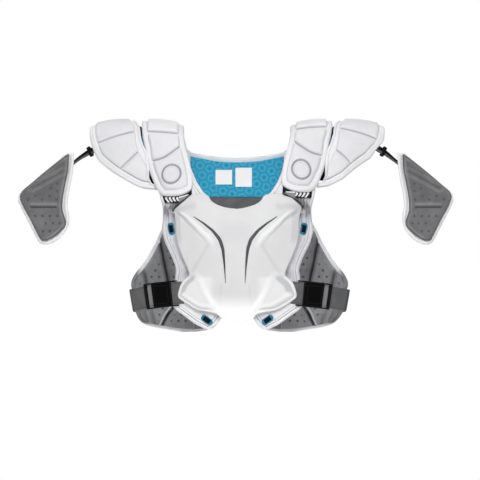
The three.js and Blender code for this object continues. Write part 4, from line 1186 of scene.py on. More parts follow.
def plate_painted_light(x, z):
    """Painted light without relief: painted shade at the crest's top and at the lobe's corner, and a painted
    highlight at the crest's end.
    """
    print_and_painted_light = 0.17 * haze(z + 178, 20) * (1 - step(20, 45, x))
    print_and_painted_light += 0.25 * haze(np.hypot(x - 107, z + 137), 10)
    return print_and_painted_light - 0.95 * step(-280, -315, z) * (1 - step(36, 56, x))


def chest_plate():
    """The left half, as a right one, and the right half."""
    rows, columns = GRIDS["chest_plate"]
    edge = PLATE_LINE
    angle = np.radians(np.linspace(83, 0, 40))
    bowl = np.stack([NECK_HALF * np.sin(angle), NECK_LEVEL - NECK_DEPTH * np.cos(angle)], -1)
    shelf = np.array([(77, -109), (64, -109.6), (53, -111.2), bowl[0]], float)
    neck = np.concatenate([soften(shelf), bowl[1:]])
    z = lerp(PLATE_TOP, PLATE_END, spread(rows, 0.35))
    outer = np.interp(-z, -edge[:, 1], edge[:, 0])
    inner = np.where(z > neck[-1, 1], np.interp(-z, -neck[:, 1], neck[:, 0]), 0)
    x, z = spanned(inner, outer, spread(columns, 0.25), z)
    place = np.stack([x, z], -1)
    inside = distance(place, np.concatenate([edge[::-1], neck]))
    out = plate_out(x, z)
    blunt = 1 - 0.85 * step(-316, -325, z) * (1 - step(22, 32, x))
    high = -rounding(inside, 2.4, 2.2) * blunt - 1.6 * (1 - step(-0.9, 0.5, slash_gap(x, z)))
    print_and_painted_light = plate_painted_light(x, z)
    for more_high, more_painted_light in (plate_flank(x, z, inside), plate_wing(x, z, inside), plate_ridges(place)):
        high = high + more_high
        print_and_painted_light = print_and_painted_light + more_painted_light
    for line, half, depth, dark in PLATE_CREASES:
        far = from_line(place, line)
        high = high - depth * bump(far, half)
        print_and_painted_light = print_and_painted_light + dark * bump(far, half)
    lobe = step(79, 94, x) * step(-152, -136, z) * (1 - step(4, 24, inside))
    halves = []
    for seen, level in ((x, z), (drawn_in(x, z) + LOBE_OUT * lobe, z + LOBE_UP * lobe)):
        top = body(-1, seen, level, out + high)
        under = body(-1, seen, level, out - PLATE_THICKNESS + rounding(inside, 0.8, 2))
        halves.append(closed(top, under, place, np.clip(print_and_painted_light, -1, 1), welded=True))
    return halves


def plate_slash():
    line = soften(np.array(SLASH, float))
    way = np.gradient(line[:, :2], axis=0)
    way /= np.linalg.norm(way, axis=1)[:, None]
    share = np.linspace(-1, 1, 9)[None]
    half = (line[:, 2] - 0.25).clip(0.2)[:, None]
    x = line[:, :1] - way[:, 1:] * half * share
    z = line[:, 1:2] + way[:, :1] * half * share
    out = plate_out(x, z)
    face, low = out - SLASH_SET - 0.5 * share**2, out - SLASH_BOTTOM
    place = np.stack([x, z], -1)
    return [closed(body(-1, seen, z, face), body(-1, seen, z, low), place) for seen in (x, drawn_in(x, z))]


add_whole("chest_plate", chest_plate(), PLATE, sharp=PLATE_SHARP_ANGLE)
add_pair("plate_slash", plate_slash(), SLASH_GREY)

# Front vest

VEST_THICKNESS = 5
VEST_END = -344.9
# How far inside the edge the binding and the stitches are.
VEST_BINDING, VEST_STITCH, VEST_SECOND_STITCH = 3.0, 6.6, 10.8
VEST_OUTER = (
    (3, 126),
    (-30, 131),
    (-84, 138),
    (-110, 135.5),
    (-134, 129),
    (-157, 128.5),
    (-171, 130.5),
    (-194, 125),
    (-221, 112),
    (-240, 105.5),
    (-262, 108.5),
    (-307, 111.5),
    (-339, 69),
    (-344.5, 55),
    (-345, 50),
)
VEST_INNER = (
    (3, 101),
    (-35, 89),
    (-67.5, 79),
    (-88.5, 70.5),
    (-106, 59.5),
    (-114.5, 50),
    (-127, 42),
    (-147, 0),
    (-305, 0),
    (-306, 14),
    (-325, 27),
    (-338, 36),
    (-345, 46),
)
# The line on the vest along the plate's side edge, beside which shade is painted.
PLATE_SIDE = np.array([(111, -140), (109.5, -160), (107.5, -189), (98, -218), (82.5, -251)], float)
# Short folds at the gather under the chevrons, drawn only as lines of painted shade.
VEST_STREAKS = (
    ((125.6, -131), (125, -145)),
    ((121, -133), (119.8, -149)),
    ((112.6, -136), (109.6, -149)),
)


def vest_folds(x, z):
    """Puckers under the chevrons, on the strip beside the plate and at the plate's notch."""
    gather = window(z, -124, -134, -152, -172) * step(100, 112, x)
    folds = np.sin(x * 0.8 + 0.03 * z + 1.2 * np.sin(z * 0.06)) + 0.5 * np.sin(x * 1.55 + 1 + 0.04 * z)
    strip = window(z, -178, -190, -236, -252) * step(84, 96, x)
    notch = haze(z + 243, 13) * step(70, 88, x)
    high = 0.6 * gather * folds + strip * 0.5 * np.sin(1.1 * (x + 0.35 * z))
    return high + notch * 0.9 * np.sin(0.55 * x + 0.5 * z)


def vest_painted_light(place):
    """Painted shade in the streaks, beside the plate, under the chevrons and at the notch, and painted light
    on the flaps, which lie in the plate's shadow.
    """
    x, z = np.moveaxis(place, -1, 0)
    edge = distance(place, PLATE_SIDE)
    beside = window(z, -268, -256, -128, -112) * step(76, 90, x)
    print_and_painted_light = beside * (0.2 + 0.3 * (1 - step(1, 3.6, edge)) + 0.1 * haze(edge, 7))
    print_and_painted_light += 0.35 * haze(z + 143, 13) * step(104, 112, x)
    print_and_painted_light += 0.4 * haze(np.hypot(x - 86, z + 249), 9)
    for line in VEST_STREAKS:
        print_and_painted_light += 0.65 * (1 - step(0.3, 1.9, distance(place, np.array(line, float))))
    return print_and_painted_light - 0.2 * step(-284, -298, z)


def front_vest():
    rows, columns = GRIDS["front_vest"]
    z = arch_height(lerp(RIDGE_GAP, arch_at(VEST_END), spread(rows, 0.15)), 0.0)
    outer = averaged(table_line(VEST_OUTER, z), 3)
    inner = table_line(VEST_INNER, z)
    x, z = spanned(inner, outer, spread(columns, 0.45), z)
    place = np.stack([x, z], -1)
    base = body(-1, x, z, VEST_THICKNESS)
    neck_end, hem_start = np.flatnonzero(inner == 0)[[0, -1]] + (0, 1)
    rim = along(np.concatenate([base[:, -1][::-1], base[0][::-1], base[:neck_end, 0]]), 2)
    hem = along(base[hem_start:, 0], 2)
    inside = np.minimum(distance(base, rim), distance(base, hem))
    high = bump(inside - VEST_BINDING, 3.2) - 0.7 * bump(inside - VEST_STITCH, 1.1)
    high -= 0.45 * bump(inside - VEST_SECOND_STITCH, 0.9)
    high -= rounding(inside, 2.2, 2.4)
    high += 0.9 * step(10, 22, inside)
    high += vest_folds(x, z)
    print_and_painted_light = 0.6 * bump(inside - VEST_STITCH, 0.9) + 0.45 * bump(inside - VEST_SECOND_STITCH, 0.7)
    print_and_painted_light *= 1 + 1.9 * step(-284, -294, z)
    print_and_painted_light += vest_painted_light(place)
    under = body(-1, x, z, rounding(inside, 1.4, 2.4))
    top = body(-1, x, z, VEST_THICKNESS + high)
    return closed(top, under, place, np.clip(print_and_painted_light, -1, 1), welded=True)


add_whole("front_vest", front_vest(), WHITE_VEST)

# Chevron elastics

ELASTIC_ROWS = (
    (-88, 80, 131),
    (-113, 78.5, 129.5),
    (-127, 89, 125),
    (-134, 96, 122),
    (-143.5, 108, 118),
)
CHEVRON = {"first": 125.4, "pitch": 6.4, "white": 3.7, "count": 4, "bend": -118.2}
# The left and the right one: how far it is raised, its white sliver and the edge of the plate over it.
ELASTICS = (
    (
        0.0,
        ((101.5, -116.2), (94.3, -114.4), (84.5, -111.2)),
        ((111, -139), (102.5, -128), (88.8, -118.9), (77, -107.5)),
    ),
    (
        8.6,
        ((101.5, -115.6), (94.3, -115.4), (84.5, -115)),
        ((114, -133), (105.5, -122.4), (90.5, -115), (77, -107.5)),
    ),
)
ELASTIC_TOP, ELASTIC_END = -88.3, -143.3
ELASTIC_IN, ELASTIC_OUT = 5.4, 7.0


def chevron_elastic(raised, sliver_line, lobe_edge):
    """Elastic printed with white chevrons under the strap cap, and gathered below them."""
    rows, columns = GRIDS["chevron_elastic"]
    z = lerp(ELASTIC_TOP, ELASTIC_END, np.linspace(0, 1, rows))
    inner, outer = (curve(ELASTIC_ROWS, k, z) for k in (1, 2))
    x, z = spanned(inner, outer, np.linspace(0, 1, columns), z)
    seen = z - raised
    place = np.stack([x, seen], -1)
    gather = step(-124.5, -129, seen)
    folds = np.sin(x * 1.25 + 0.12 * z) + 0.6 * np.sin(x * 2.3 + 2)
    below = CHEVRON["bend"] - seen
    arrow = CHEVRON["first"] - x - np.where(below > 0, 0.75 * below, -0.2 * below)
    stripe = np.abs(arrow % CHEVRON["pitch"] - CHEVRON["white"] / 2)
    row = (arrow > -0.5) & (arrow < CHEVRON["pitch"] * CHEVRON["count"] - 1)
    foot = -124.9 + 0.16 * (120 - x)
    band = window(seen, foot - 0.5, foot + 0.5, -116, -115)
    print_and_painted_light = (1 - step(CHEVRON["white"] / 2 - 0.4, CHEVRON["white"] / 2 + 0.3, stripe)) * band * row
    sliver = distance(place, np.array(sliver_line, float)) - 0.045 * (x - 84)
    print_and_painted_light = np.maximum(print_and_painted_light, (1 - step(0.3, 1.2, sliver)) * window(x, 83, 86, 100, 102))
    level = np.interp(x, *zip(*sliver_line[::-1]))
    grey = (1 - step(99, 103, x)) * step(0.8, 2.2, level - seen)
    print_and_painted_light = np.maximum(print_and_painted_light, 0.27 * grey)
    edge = distance(np.stack([x, z], -1), np.array(lobe_edge, float))
    bright = np.maximum(step(7, 14, edge), step(-134, -143, z))
    # The gathered part is grey, with painted shade following its folds, and painted shade close under the
    # plate's edge.
    print_and_painted_light = np.maximum(print_and_painted_light, gather * (0.2 + 0.08 * folds + 0.42 * bright))
    print_and_painted_light = np.where(gather + grey > 0.3, print_and_painted_light * step(0.8, 3.4, edge) + 0.05, print_and_painted_light)
    top = body(-1, x, z, ELASTIC_OUT + 0.7 * gather * folds)
    return closed(top, body(-1, x, z, ELASTIC_IN), np.stack([x, z], -1), np.clip(print_and_painted_light, 0, 1))


add_pair("chevron_elastic", [chevron_elastic(*row) for row in ELASTICS], CHEVRON_WEB)

# Back shell

SHELL_IN, SHELL_OUT = 4.4, 9.4
SHELL_END = -351.9
SHELL_BINDING, SHELL_STITCH = 3.2, 7.2
# Seams of the quilted panels: half the width of the middle ones, and the heights between them.
SEAM_HALF = 44
SEAM_LEVELS = (-120, -190, -262)
# The shell's outer edge (height, turn), from the ridge down the arm hole and round the wing to the hem.
SHELL_OUTER = (
    (8, 36),
    (-60, 36.5),
    (-130, 37.5),
    (-165, 39),
    (-194, 45),
    (-221, 53),
    (-230, 57),
    (-238, 62),
    (-250, 72),
    (-260, 82),
    (-269, 92),
    (-274, 96),
    (-279, 100),
    (-306, 100),
    (-312, 96),
    (-317, 92),
    (-331, 82),
    (-338, 72),
    (-341.5, 62),
    (-343, 57),
    (-344.5, 53),
    (-346.5, 45),
    (-348.5, 39),
    (-349.5, 36),
    (-351, 31),
    (-352, 25.5),
)
SHELL_INNER = (
    (8, 26.5),
    (-35.5, 23.4),
    (-36.5, 22),
    (-40.2, 16),
    (-44.2, 10),
    (-46.6, 5),
    (-47.5, 0),
    (-305, 0),
    (-306, 1),
    (-322, 5),
    (-345, 10),
    (-351, 16),
    (-352, 22),
)
# The neck's edge (turn, height), from the middle outwards.
NECK_EDGE = tuple((turn, z) for z, turn in SHELL_INNER[6:0:-1])


def back_shell():
    rows, columns = GRIDS["back_shell"]
    z = arch_height(lerp(RIDGE_GAP, arch_at(SHELL_END), spread(rows, 0.1)), 0.0)
    outer = averaged(table_line(SHELL_OUTER, z), 2)
    inner = table_line(SHELL_INNER, z)
    turn, z = spanned(inner, outer, spread(columns, 0.45), z)
    base = torso(turn, z, SHELL_OUT)
    upper = np.arange(len(inner)) <= np.argmax(inner <= 0)
    lower = (inner > 0) & ~upper
    rim = along(np.concatenate([base[:, -1][::-1], base[0][::-1], base[upper][:, 0]]), 2)
    inside = np.minimum(distance(base, rim), distance(base, along(base[lower][:, 0], 2)))
    high = 1.1 * bump(inside - SHELL_BINDING, 3.4) - 0.8 * bump(inside - SHELL_STITCH, 1.2)
    high -= rounding(inside, 2.4, 2.6)
    x = base[..., 0]
    beyond = np.abs(x) - SEAM_HALF
    slant = np.where(beyond < 0, 0, 0.25 * beyond)
    panel = np.minimum(inside - 14, np.abs(beyond) - 1.8)
    for level in SEAM_LEVELS:
        panel = np.minimum(panel, np.abs(z - level + slant) - 1.8)
    high += 3.4 * rise(panel, 6) + 0.8 * step(4, 30, panel)
    print_and_painted_light = 0.35 * bump(inside - SHELL_STITCH, 1.0) + 0.24 * bump(panel, 0.9)
    print_and_painted_light += step(62, 70, turn) * step(-341, -333, z) * (1 - step(10, 13, inside))
    below = np.interp(turn, *zip(*NECK_EDGE)) - z
    # A painted highlight on the collar's inner face, which lies in shade.
    print_and_painted_light -= 0.25 * (1 - step(26, 28, turn)) * (1 - step(6, 9, below))
    under = torso(turn, z, SHELL_IN - 1.2 * bump(inside - SHELL_BINDING, 3.4) + rounding(inside, 1.6, 2.6))
    top = torso(turn, z, SHELL_OUT + high)
    collar = 3.2 * (1 - step(0, 14, below)) * (1 - step(23, 27, turn))
    top[..., 2] += collar
    under[..., 2] += collar
    return closed(top, under, np.stack([x, z], -1), np.clip(print_and_painted_light, -1, 1), welded=True, margin=18)


add_whole("back_shell", back_shell(), BACK_MESH)

# Liners of the back

LINER_INSET = 5
# The shell's hem (turn, height), from the middle outwards.
HEM = (
    (0, -305),
    (5, -322),
    (10, -345),
    (16, -351),
    (22, -352),
    (25.5, -352),
    (31, -351),
    (36, -349.5),
    (45, -346.5),
    (53, -344.5),
    (62, -341.5),
    (72, -338),
    (82, -331),
    (92, -317),
    (96, -312),
)
# The wing liner's upper edge follows the shell's arm hole.
WING_TOP = ((22, -173), (39, -173)) + tuple((turn, z - LINER_INSET) for z, turn in SHELL_OUTER[4:12])
# Where the wing liner starts and ends, and half of the middle ones.
WING_TURNS = (22.6, 96)
MIDDLE_TURN = 22
YOKE_SEAM, SEAM_GAP = -115, 0.35
LINER_OUT = 4


def inner_face(turn, top, hem, rows, relief):
    """A liner whose worn face, towards the body, has the relief."""
    share = spread(rows, 0.3)[:, None]
    start, end = arch_at(top)[None], arch_at(hem)[None]
    arch = lerp(start, end, share)
    z = arch_height(arch, 0.0)
    turn = np.broadcast_to(turn[None], z.shape)
    base = torso(turn, z, 0.0)
    inside = distance(base, along(rim_of(base), 2))
    high, print_and_painted_light = relief(base[..., 0], z, inside)
    face = torso(turn, z, -high)
    back = torso(turn, z, LINER_OUT - rounding(inside, 0.6, 2))
    return closed(face, back, np.stack([base[..., 0], z], -1), print_and_painted_light)


def dot_field(x, z, pitch, radius):
    """A staggered pattern of round dots."""
    row = np.round(z / (pitch * 0.866))
    shift = np.where(row % 2 == 0, 0, 0.5)
    near = (np.round(np.abs(x) / pitch - shift) + shift) * pitch
    far = np.hypot(np.abs(x) - near, z - row * pitch * 0.866)
    return 1 - step(radius * 0.5, radius * 1.2, far)


def yoke_relief(x, z, inside):
    return 0.8 * step(0, 10, inside) - rounding(inside, 1.6, 2) - 0.8, np.zeros_like(x)


def spine_relief(x, z, inside):
    dots = dot_field(x, z, 13.0, 1.6) * step(-140, -146, z)
    print_and_painted_light = 0.8 * dots - 0.16 * step(-290, -310, z)
    return yoke_relief(x, z, inside)[0] - 0.8 * dots, print_and_painted_light


# Folds of a wing, in the front view: points, half width, depth, and darkness of the shade painted in and
# beside them.
WING_FOLDS = (
    (
        ((133.5, -176), (132.4, -186), (130.8, -196), (125.4, -228), (119, -259), (114.5, -285), (111, -303)),
        3.5, 3.2, 0.95,
    ),
    (((161, -236), (159, -245), (157.5, -254), (155.5, -264), (152, -285), (150, -300)), 4.4, 2.4, 0.75),
    (((147, -306), (144.5, -326), (141, -344)), 3.4, 1.2, 0.5),
    (((160, -304), (157, -322), (153, -340)), 3, 1.0, 0.4),
)
# A fold under the side strap, with a piped seam along its outer side and painted shadow in the fold.
PIPED_FOLD = ((107.5, -302), (111.5, -311), (120.5, -322), (127, -333), (130.5, -343))


def wing_relief(x, z, inside):
    place = np.stack([x, z], -1)
    high = 0.6 * step(0, 12, inside) - rounding(inside, 1.8, 2.2) - 0.6
    far = np.full(x.shape, 99.0)
    print_and_painted_light, light = np.zeros(x.shape), np.zeros(x.shape)
    for line, width, depth, dark in WING_FOLDS:
        path = soften(np.array(line, float))
        gap = distance(place, path)
        fade = step(path[0, 1] + 1, path[0, 1] - 16, z)
        outside = x > np.interp(-z, -path[:, 1], path[:, 0])
        far = np.minimum(far, gap - width)
        high = high - fade * (depth * bump(gap, width) - 0.5 * bump(gap - width - 1.6, 2.2))
        # Painted shade in each fold, spreading wider on its outer side, and a painted highlight a little way
        # outside it.
        soft = np.where(outside, 0.68, 0.4) * haze(gap, np.where(outside, 9, 7))
        shade = np.maximum(1 - step(0.3 * width, 1.1 * width, gap), soft)
        print_and_painted_light = np.maximum(print_and_painted_light, dark * fade * shade)
        light = np.maximum(light, 0.3 * dark * fade * outside * haze(gap - 8.5, 3))
    fold = soften(np.array(PIPED_FOLD, float))
    gap, pipe = distance(place, fold), distance(place, fold + (4.6, 1.8))
    high = high + 1.6 * bump(pipe, 1.7) - 2.4 * bump(gap, 3)
    print_and_painted_light = np.maximum(print_and_painted_light, 1 - step(1.6, 3.2, gap))
    far = np.minimum(far, gap - 6)
    dots = dot_field(x, z, 12.8, 2.5) * step(2, 5, far) * step(5, 8, inside)
    print_and_painted_light = np.maximum(print_and_painted_light, 0.75 * dots) - light - 0.14 * step(-310, -318, z) * step(120, 130, x)
    return high - 0.8 * dots, np.where(pipe < 2, -1 + step(0.9, 1.7, pipe), print_and_painted_light)


def wing_liner():
    rows, columns = GRIDS["wing_liner"]
    turn = lerp(*WING_TURNS, np.linspace(0, 1, columns))
    return inner_face(turn, curve(WING_TOP, 1, turn), curve(HEM, 1, turn) + LINER_INSET, rows, wing_relief)


def spine_pieces():
    yoke_rows, columns = GRIDS["yoke_liner"]
    turn = np.linspace(-MIDDLE_TURN, MIDDLE_TURN, columns)
    top = curve(NECK_EDGE[:-1], 1, np.abs(turn)) - LINER_INSET
    hem = curve(HEM, 1, np.abs(turn)) + LINER_INSET
    seam = np.full_like(turn, YOKE_SEAM)
    yoke = inner_face(turn, top, seam + SEAM_GAP, yoke_rows, yoke_relief)
    return yoke, inner_face(turn, seam - SEAM_GAP, hem, GRIDS["spine_liner"][0], spine_relief)


yoke, spine = spine_pieces()
add_one("yoke_liner", yoke, BLUE_KNIT)
add_one("spine_liner", spine, SPINE_KNIT)
add_pair("wing_liner", wing_liner(), WING_KNIT)

# Each label's left, right, upper and lower edge, and how far both faces are inside the body.
LABEL_FACE, LABEL_BACK = 1.5, 0.7
LABELS = (("label_small", -38, -9, -66, -92), ("label_large", -3, 26, -62, -96))


def sewn_label(left, right, top, bottom):
    rows, columns = GRIDS["label"]
    x, z = np.meshgrid(np.linspace(left, right, columns), np.linspace(top, bottom, rows))
    edge = np.minimum(np.minimum(x - left, right - x), np.minimum(top - z, z - bottom))
    curl = 0.5 * np.sin((x - left) * 0.35) * step(0, 6, edge)
    print_and_painted_light = 0.5 * bump(edge - 1.6, 0.8)
    face = body(1, x, z, 0.2 * curl - LABEL_FACE)
    return closed(face, body(1, x, z, -LABEL_BACK), np.stack([x, z], -1), print_and_painted_light)


for name, *sizes in LABELS:
    add_one(name, sewn_label(*sizes), LABEL_SATIN)

# Arm pads

ARM_AXIS = (328, -90)
ARM_RADIUS = 98
ARM_SWAY = -2.4
# How far the shell's back is outside the arm's round, and both faces of the liner inside it.
ARM_SHELL_OUT = 7
ARM_LINER_FACE, ARM_LINER_BACK = 6, 0.4
ARM_SHELL = (
    (-37.5, 284.5, 293),
    (-39, 283.4, 296.5),
    (-50, 283.4, 310),
    (-82, 287, 347),
    (-106, 292, 376),
    (-113, 293, 380),
    (-121, 294, 381),
    (-129, 294.5, 378),
    (-149, 291.7, 368),
    (-156, 291.7, 364.5),
    (-163, 292.5, 361),
    (-170, 295.5, 357.5),
    (-176, 299, 354.5),
    (-190, 312.5, 347),
    (-195.5, 321.5, 342.5),
    (-197.8, 328.5, 337),
)
ARM_LINER = (
    (-40, 291.8, 295),
    (-62, 292.7, 324),
    (-93, 298.4, 360.5),
    (-107, 301, 375.2),
    (-111, 301.8, 377),
    (-114, 302.3, 377.3),
    (-127, 303.6, 373),
    (-137, 303.2, 368.5),
    (-149, 300, 361.5),
    (-158, 297.3, 357),
    (-164, 297.8, 354),
    (-172, 304.2, 350),
    (-184, 317.6, 344),
    (-189.5, 328, 340.5),
    (-191, 332, 337.5),
)
# Height of each row of punched dots, and how far out they are.
ARM_DOTS = (
    (-91, (312.4,)),
    (-99.6, (324.2,)),
    (-104.1, (313.3,)),
    (-113, (326.4, 351.3)),
    (-119.5, (314, 338.9, 363.7)),
    (-148.2, (312.4, 325.7, 338.2, 351.3)),
    (-160.7, (308.6, 320.3, 332.7)),
    (-174.7, (325.7, 337.3)),
)
# A crease across the liner, a fold above it, and the seams on the back of the shell.
ARM_CREASE = -132.6
ARM_FOLD = ((303, -70), (356, -99))
ARM_SEAMS = (((284, -78), (384, -112)), ((286, -135), (384, -128)))


def arm(x, z, out):
    x, z, out = np.broadcast_arrays(x, z, out)
    reach = ARM_RADIUS + out
    return np.stack([x, ARM_AXIS[1] + np.sqrt(reach**2 - (x - ARM_AXIS[0]) ** 2), z], -1)


def arm_grid(table, rows, columns):
    z = lerp(table[0][0], table[-1][0], spread(rows, 0.35))
    inner, outer = (curve(table, k, z) for k in (1, 2))
    x, z = spanned(inner, outer, spread(columns, 0.4), z)
    place = np.stack([x, z], -1)
    return x, z, place, distance(place, along(rim_of(place), 1.5))


def arm_shell():
    x, z, place, inside = arm_grid(ARM_SHELL, *GRIDS["arm_shell"])
    front = 1.4 * bump(inside - 3.4, 3.6) - rounding(inside, 2.0, 2.6)
    panel = inside - 9
    for seam in ARM_SEAMS:
        panel = np.minimum(panel, distance(place, np.array(seam, float)) - 1.8)
    back = 2.6 * rise(panel, 5) - rounding(inside, 2.2, 2.8) + 0.6 * step(3, 20, panel)
    print_and_painted_light = 0.4 * bump(inside - 6.8, 0.9)
    print_and_painted_light += 0.2 * (1 - step(6, 10, x[:, -1:] - x)) * step(-110, -122, z)
    top = arm(x, z, ARM_SHELL_OUT + back)
    return closed(top, arm(x, z, -front), place, print_and_painted_light, margin=20)


def arm_liner():
    x, z, place, inside = arm_grid(ARM_LINER, *GRIDS["arm_liner"])
    high = 0.7 * bump(inside - 3.2, 2.2) - rounding(inside, 1.8, 2) - 0.5 * bump(inside - 6.4, 1.4)
    high += 0.9 * step(6, 18, inside)
    across = window(x, 311, 316, 357, 362)
    high += across * (1.5 * bump(z + 127.3, 3.4) - 2.0 * bump(z - ARM_CREASE, 1.9))
    band = distance(place, np.array(ARM_FOLD, float))
    high += -1.2 * bump(band, 7.5) + 0.7 * bump(band - 8.5, 2.5)
    dots = np.zeros_like(x)
    for level, row in ARM_DOTS:
        for spot in row:
            dots = np.maximum(dots, 1 - step(0.8, 3.3, np.hypot(x - spot, z - level)))
    print_and_painted_light = lerp(0.62, 0.42, step(-140, -128, z)) * dots
    # Painted shade along the crease and the fold channel, each with a painted highlight beside it.
    print_and_painted_light += across * bump(z - ARM_CREASE, 2.2)
    print_and_painted_light -= 0.2 * across * bump(z + 127, 3.2)
    print_and_painted_light += 0.5 * bump(band, 3) - 0.1 * bump(band - 7, 3) + 0.5 * (1 - step(0.8, 2.4, inside))
    print_and_painted_light -= 0.2 * bump(inside - 4.4, 2.4) * (1 - step(316, 322, x + 0.2 * (z + 130)))
    print_and_painted_light += 0.22 * step(-126, -118, z) * step(5, 10, inside) * step(5, 11, band)
    print_and_painted_light = np.clip(print_and_painted_light, -1, 1)
    return closed(arm(x, z, -ARM_LINER_FACE - high + 0.8 * dots), arm(x, z, -ARM_LINER_BACK), place, print_and_painted_light)


add_pair("arm_shell", arm_shell(), WHITE_CAP, sway=ARM_SWAY)
add_pair("arm_liner", arm_liner(), ARM_KNIT, sway=ARM_SWAY)

# Arm straps and their buckles

# Place, width and share of the pads' sway along the strap.
ARM_STRAP = (
    (226, -19, -15, 10, 0),
    (246, -13, -30, 11, 0),
    (262, -5, -39, 9.4, 0.5),
    (275, 4, -48, 7, 1),
    (284, 8.2, -55, 6, 1),
    (296, 11.8, -63, 6, 1),
)
ARM_STRAP_THICKNESS = 2.6
# The slider: share along the strap, way back from there, loop, section, and share of the pads' sway.
ARM_BUCKLE = {"share": 0.4, "back": 7.5, "loop": (16.6, 5.2, 1.4), "section": (5.4, 1.9, 0.6), "sway": 0.3}
FRAME_COUNT = 101


def strap_frames(rows):
    at = np.linspace(0, len(ARM_STRAP) - 1, rows)
    keys = np.arange(len(ARM_STRAP))
    table = np.stack([smooth(keys, column(ARM_STRAP, k), at) for k in range(5)], -1)
    way = np.gradient(table[:, :3], axis=0)
    way /= np.linalg.norm(way, axis=1)[:, None]
    out = np.cross(way, (0, 0, 1))
    out /= np.linalg.norm(out, axis=1)[:, None]
    return table, way, out, np.cross(out, way)


def arm_strap(sway):
    rows, columns = GRIDS["arm_strap"]
    table, _, out, across = strap_frames(rows)
    table[:, 0] += sway * table[:, 4]
    share = np.linspace(-0.5, 0.5, columns)
    crown = ARM_STRAP_THICKNESS / 2 * (1 - 0.6 * (2 * np.abs(share)) ** 6)
    middle = table[:, None, :3] + across[:, None] * (share[:, None] * table[:, None, 3:4])
    top = middle + out[:, None] * crown[:, None]
    under = middle - out[:, None] * crown[:, None]
    uv = np.stack(np.broadcast_arrays(share[None] * 10, lengths(table[:, :3])[:, None]), -1)
    # One side of the strap is painted grey: a painted highlight along it.
    print_and_painted_light = np.broadcast_to(0.8 * (1 - step(-0.16, 0.0, share))[None], uv.shape[:2])
    return closed(top, under, uv, np.ascontiguousarray(print_and_painted_light))


def looped_quads(count, size):
    """The quads of a grid of points whose rows and columns both join end to start."""
    a, b = np.meshgrid(np.arange(count), np.arange(size), indexing="ij")
    c, d = (a + 1) % count, (b + 1) % size
    return np.stack([a * size + b, a * size + d, c * size + d, c * size + b], -1).reshape(-1, 4)


def ring_loft(frames, section):
    """A closed tube: a section repeated at each frame of origin and axes, its end joined to its start."""
    points = np.concatenate([o + section[:, :1] * u + section[:, 1:] * v for o, u, v in frames])
    faces = turned_out(points, [looped_quads(len(frames), len(section))])
    return points, faces, points[:, [0, 2]], np.zeros(len(points))


def rounded_box(width, height, radius, corner):
    """The middle line of a rounded rectangle and its outward directions."""
    line, out = [], []
    for k, (sx, sy) in enumerate(((1, 1), (-1, 1), (-1, -1), (1, -1))):
        for a in np.linspace(0, np.pi / 2, corner):
            way = np.array([np.cos(a + k * np.pi / 2), np.sin(a + k * np.pi / 2)])
            line.append(np.array([sx * (width / 2 - radius), sy * (height / 2 - radius)]) + radius * way)
            out.append(way)
    return np.array(line), np.array(out)


def arm_buckle():
    """A rounded slider that the strap passes through."""
    table, way, out, across = strap_frames(FRAME_COUNT)
    row = round(ARM_BUCKLE["share"] * (FRAME_COUNT - 1))
    centre = table[row, :3] - way[row] * ARM_BUCKLE["back"]
    line, outward = rounded_box(*ARM_BUCKLE["loop"], 6)
    frames = [(centre + across[row] * p[0] + out[row] * p[1], way[row], across[row] * q[0] + out[row] * q[1])
              for p, q in zip(line, outward)]
    return ring_loft(frames, rounded_box(*ARM_BUCKLE["section"], 4)[0])


add_pair("arm_strap", [arm_strap(-ARM_SWAY), arm_strap(ARM_SWAY)], ARM_WEB)
add_pair("arm_buckle", arm_buckle(), BLACK_PLASTIC, sway=ARM_BUCKLE["sway"] * ARM_SWAY)

# Webs under the slits between the caps

# How far the web is lifted at each place out from the middle.
WEB_COLUMNS = ((134, 0), (152, -0.4), (163, -0.8), (167.5, 2.4), (171, 4), (187, 4))
# The arch angle at the back end and the front end, and that of the inner corner on the left and on the right.
WEB_BACK, WEB_FRONT = -40, 66
WEB_CORNERS = (70.4, 67.8)
WEB_IN, WEB_OUT = -15.6, -13.6


def cap_web(corner):
    rows, columns = GRIDS["cap_web"]
    x = np.linspace(WEB_COLUMNS[0][0], WEB_COLUMNS[-1][0], columns)[None]
    front = WEB_FRONT + (corner - WEB_FRONT) * (1 - step(158, 170, x))
    arch = lerp(WEB_BACK, front, np.linspace(0, 1, rows)[:, None])
    lift = curve(WEB_COLUMNS, 1, x)
    arch, x, lift = np.broadcast_arrays(arch, x, lift)
    top = shoulder(x, arch, WEB_OUT + lift)
    print_and_painted_light = window(arch, 25, 27.5, 34, 37)
    return closed(top, shoulder(x, arch, WEB_IN + lift), np.stack([x, arch * 1.6], -1), print_and_painted_light)


add_pair("cap_web", [cap_web(corner) for corner in WEB_CORNERS], CAP_WEB)

# Side straps, buckles and tabs

# Turn, height and distance off the body along the strap's middle.
STRAP_ROUTE = (
    (58, -297.5, 10.1),
    (72, -297.5, 10.1),
    (84, -297, 13),
    (96, -295.5, 13),
    (108, -293, 10.5),
    (122, -289, 7.5),
    (148, -282.5, 5.8),
    (153, -281, 5.8),
)
STRAP_WIDTH, STRAP_THICKNESS, STRAP_STITCH = 38.5, 2, 3.2


def on_strap(turn, side, out):
    """A point on the strap's route: turn, how far up from its middle, and how far out from its inside."""
    turn, side, out = np.broadcast_arrays(turn, side, out)
    middle, base = (curve(STRAP_ROUTE, k, turn) for k in (1, 2))
    return torso(turn, middle + side, base + out)


def strap_length(turn):
    return lengths(on_strap(turn, 0.0, 0.0))


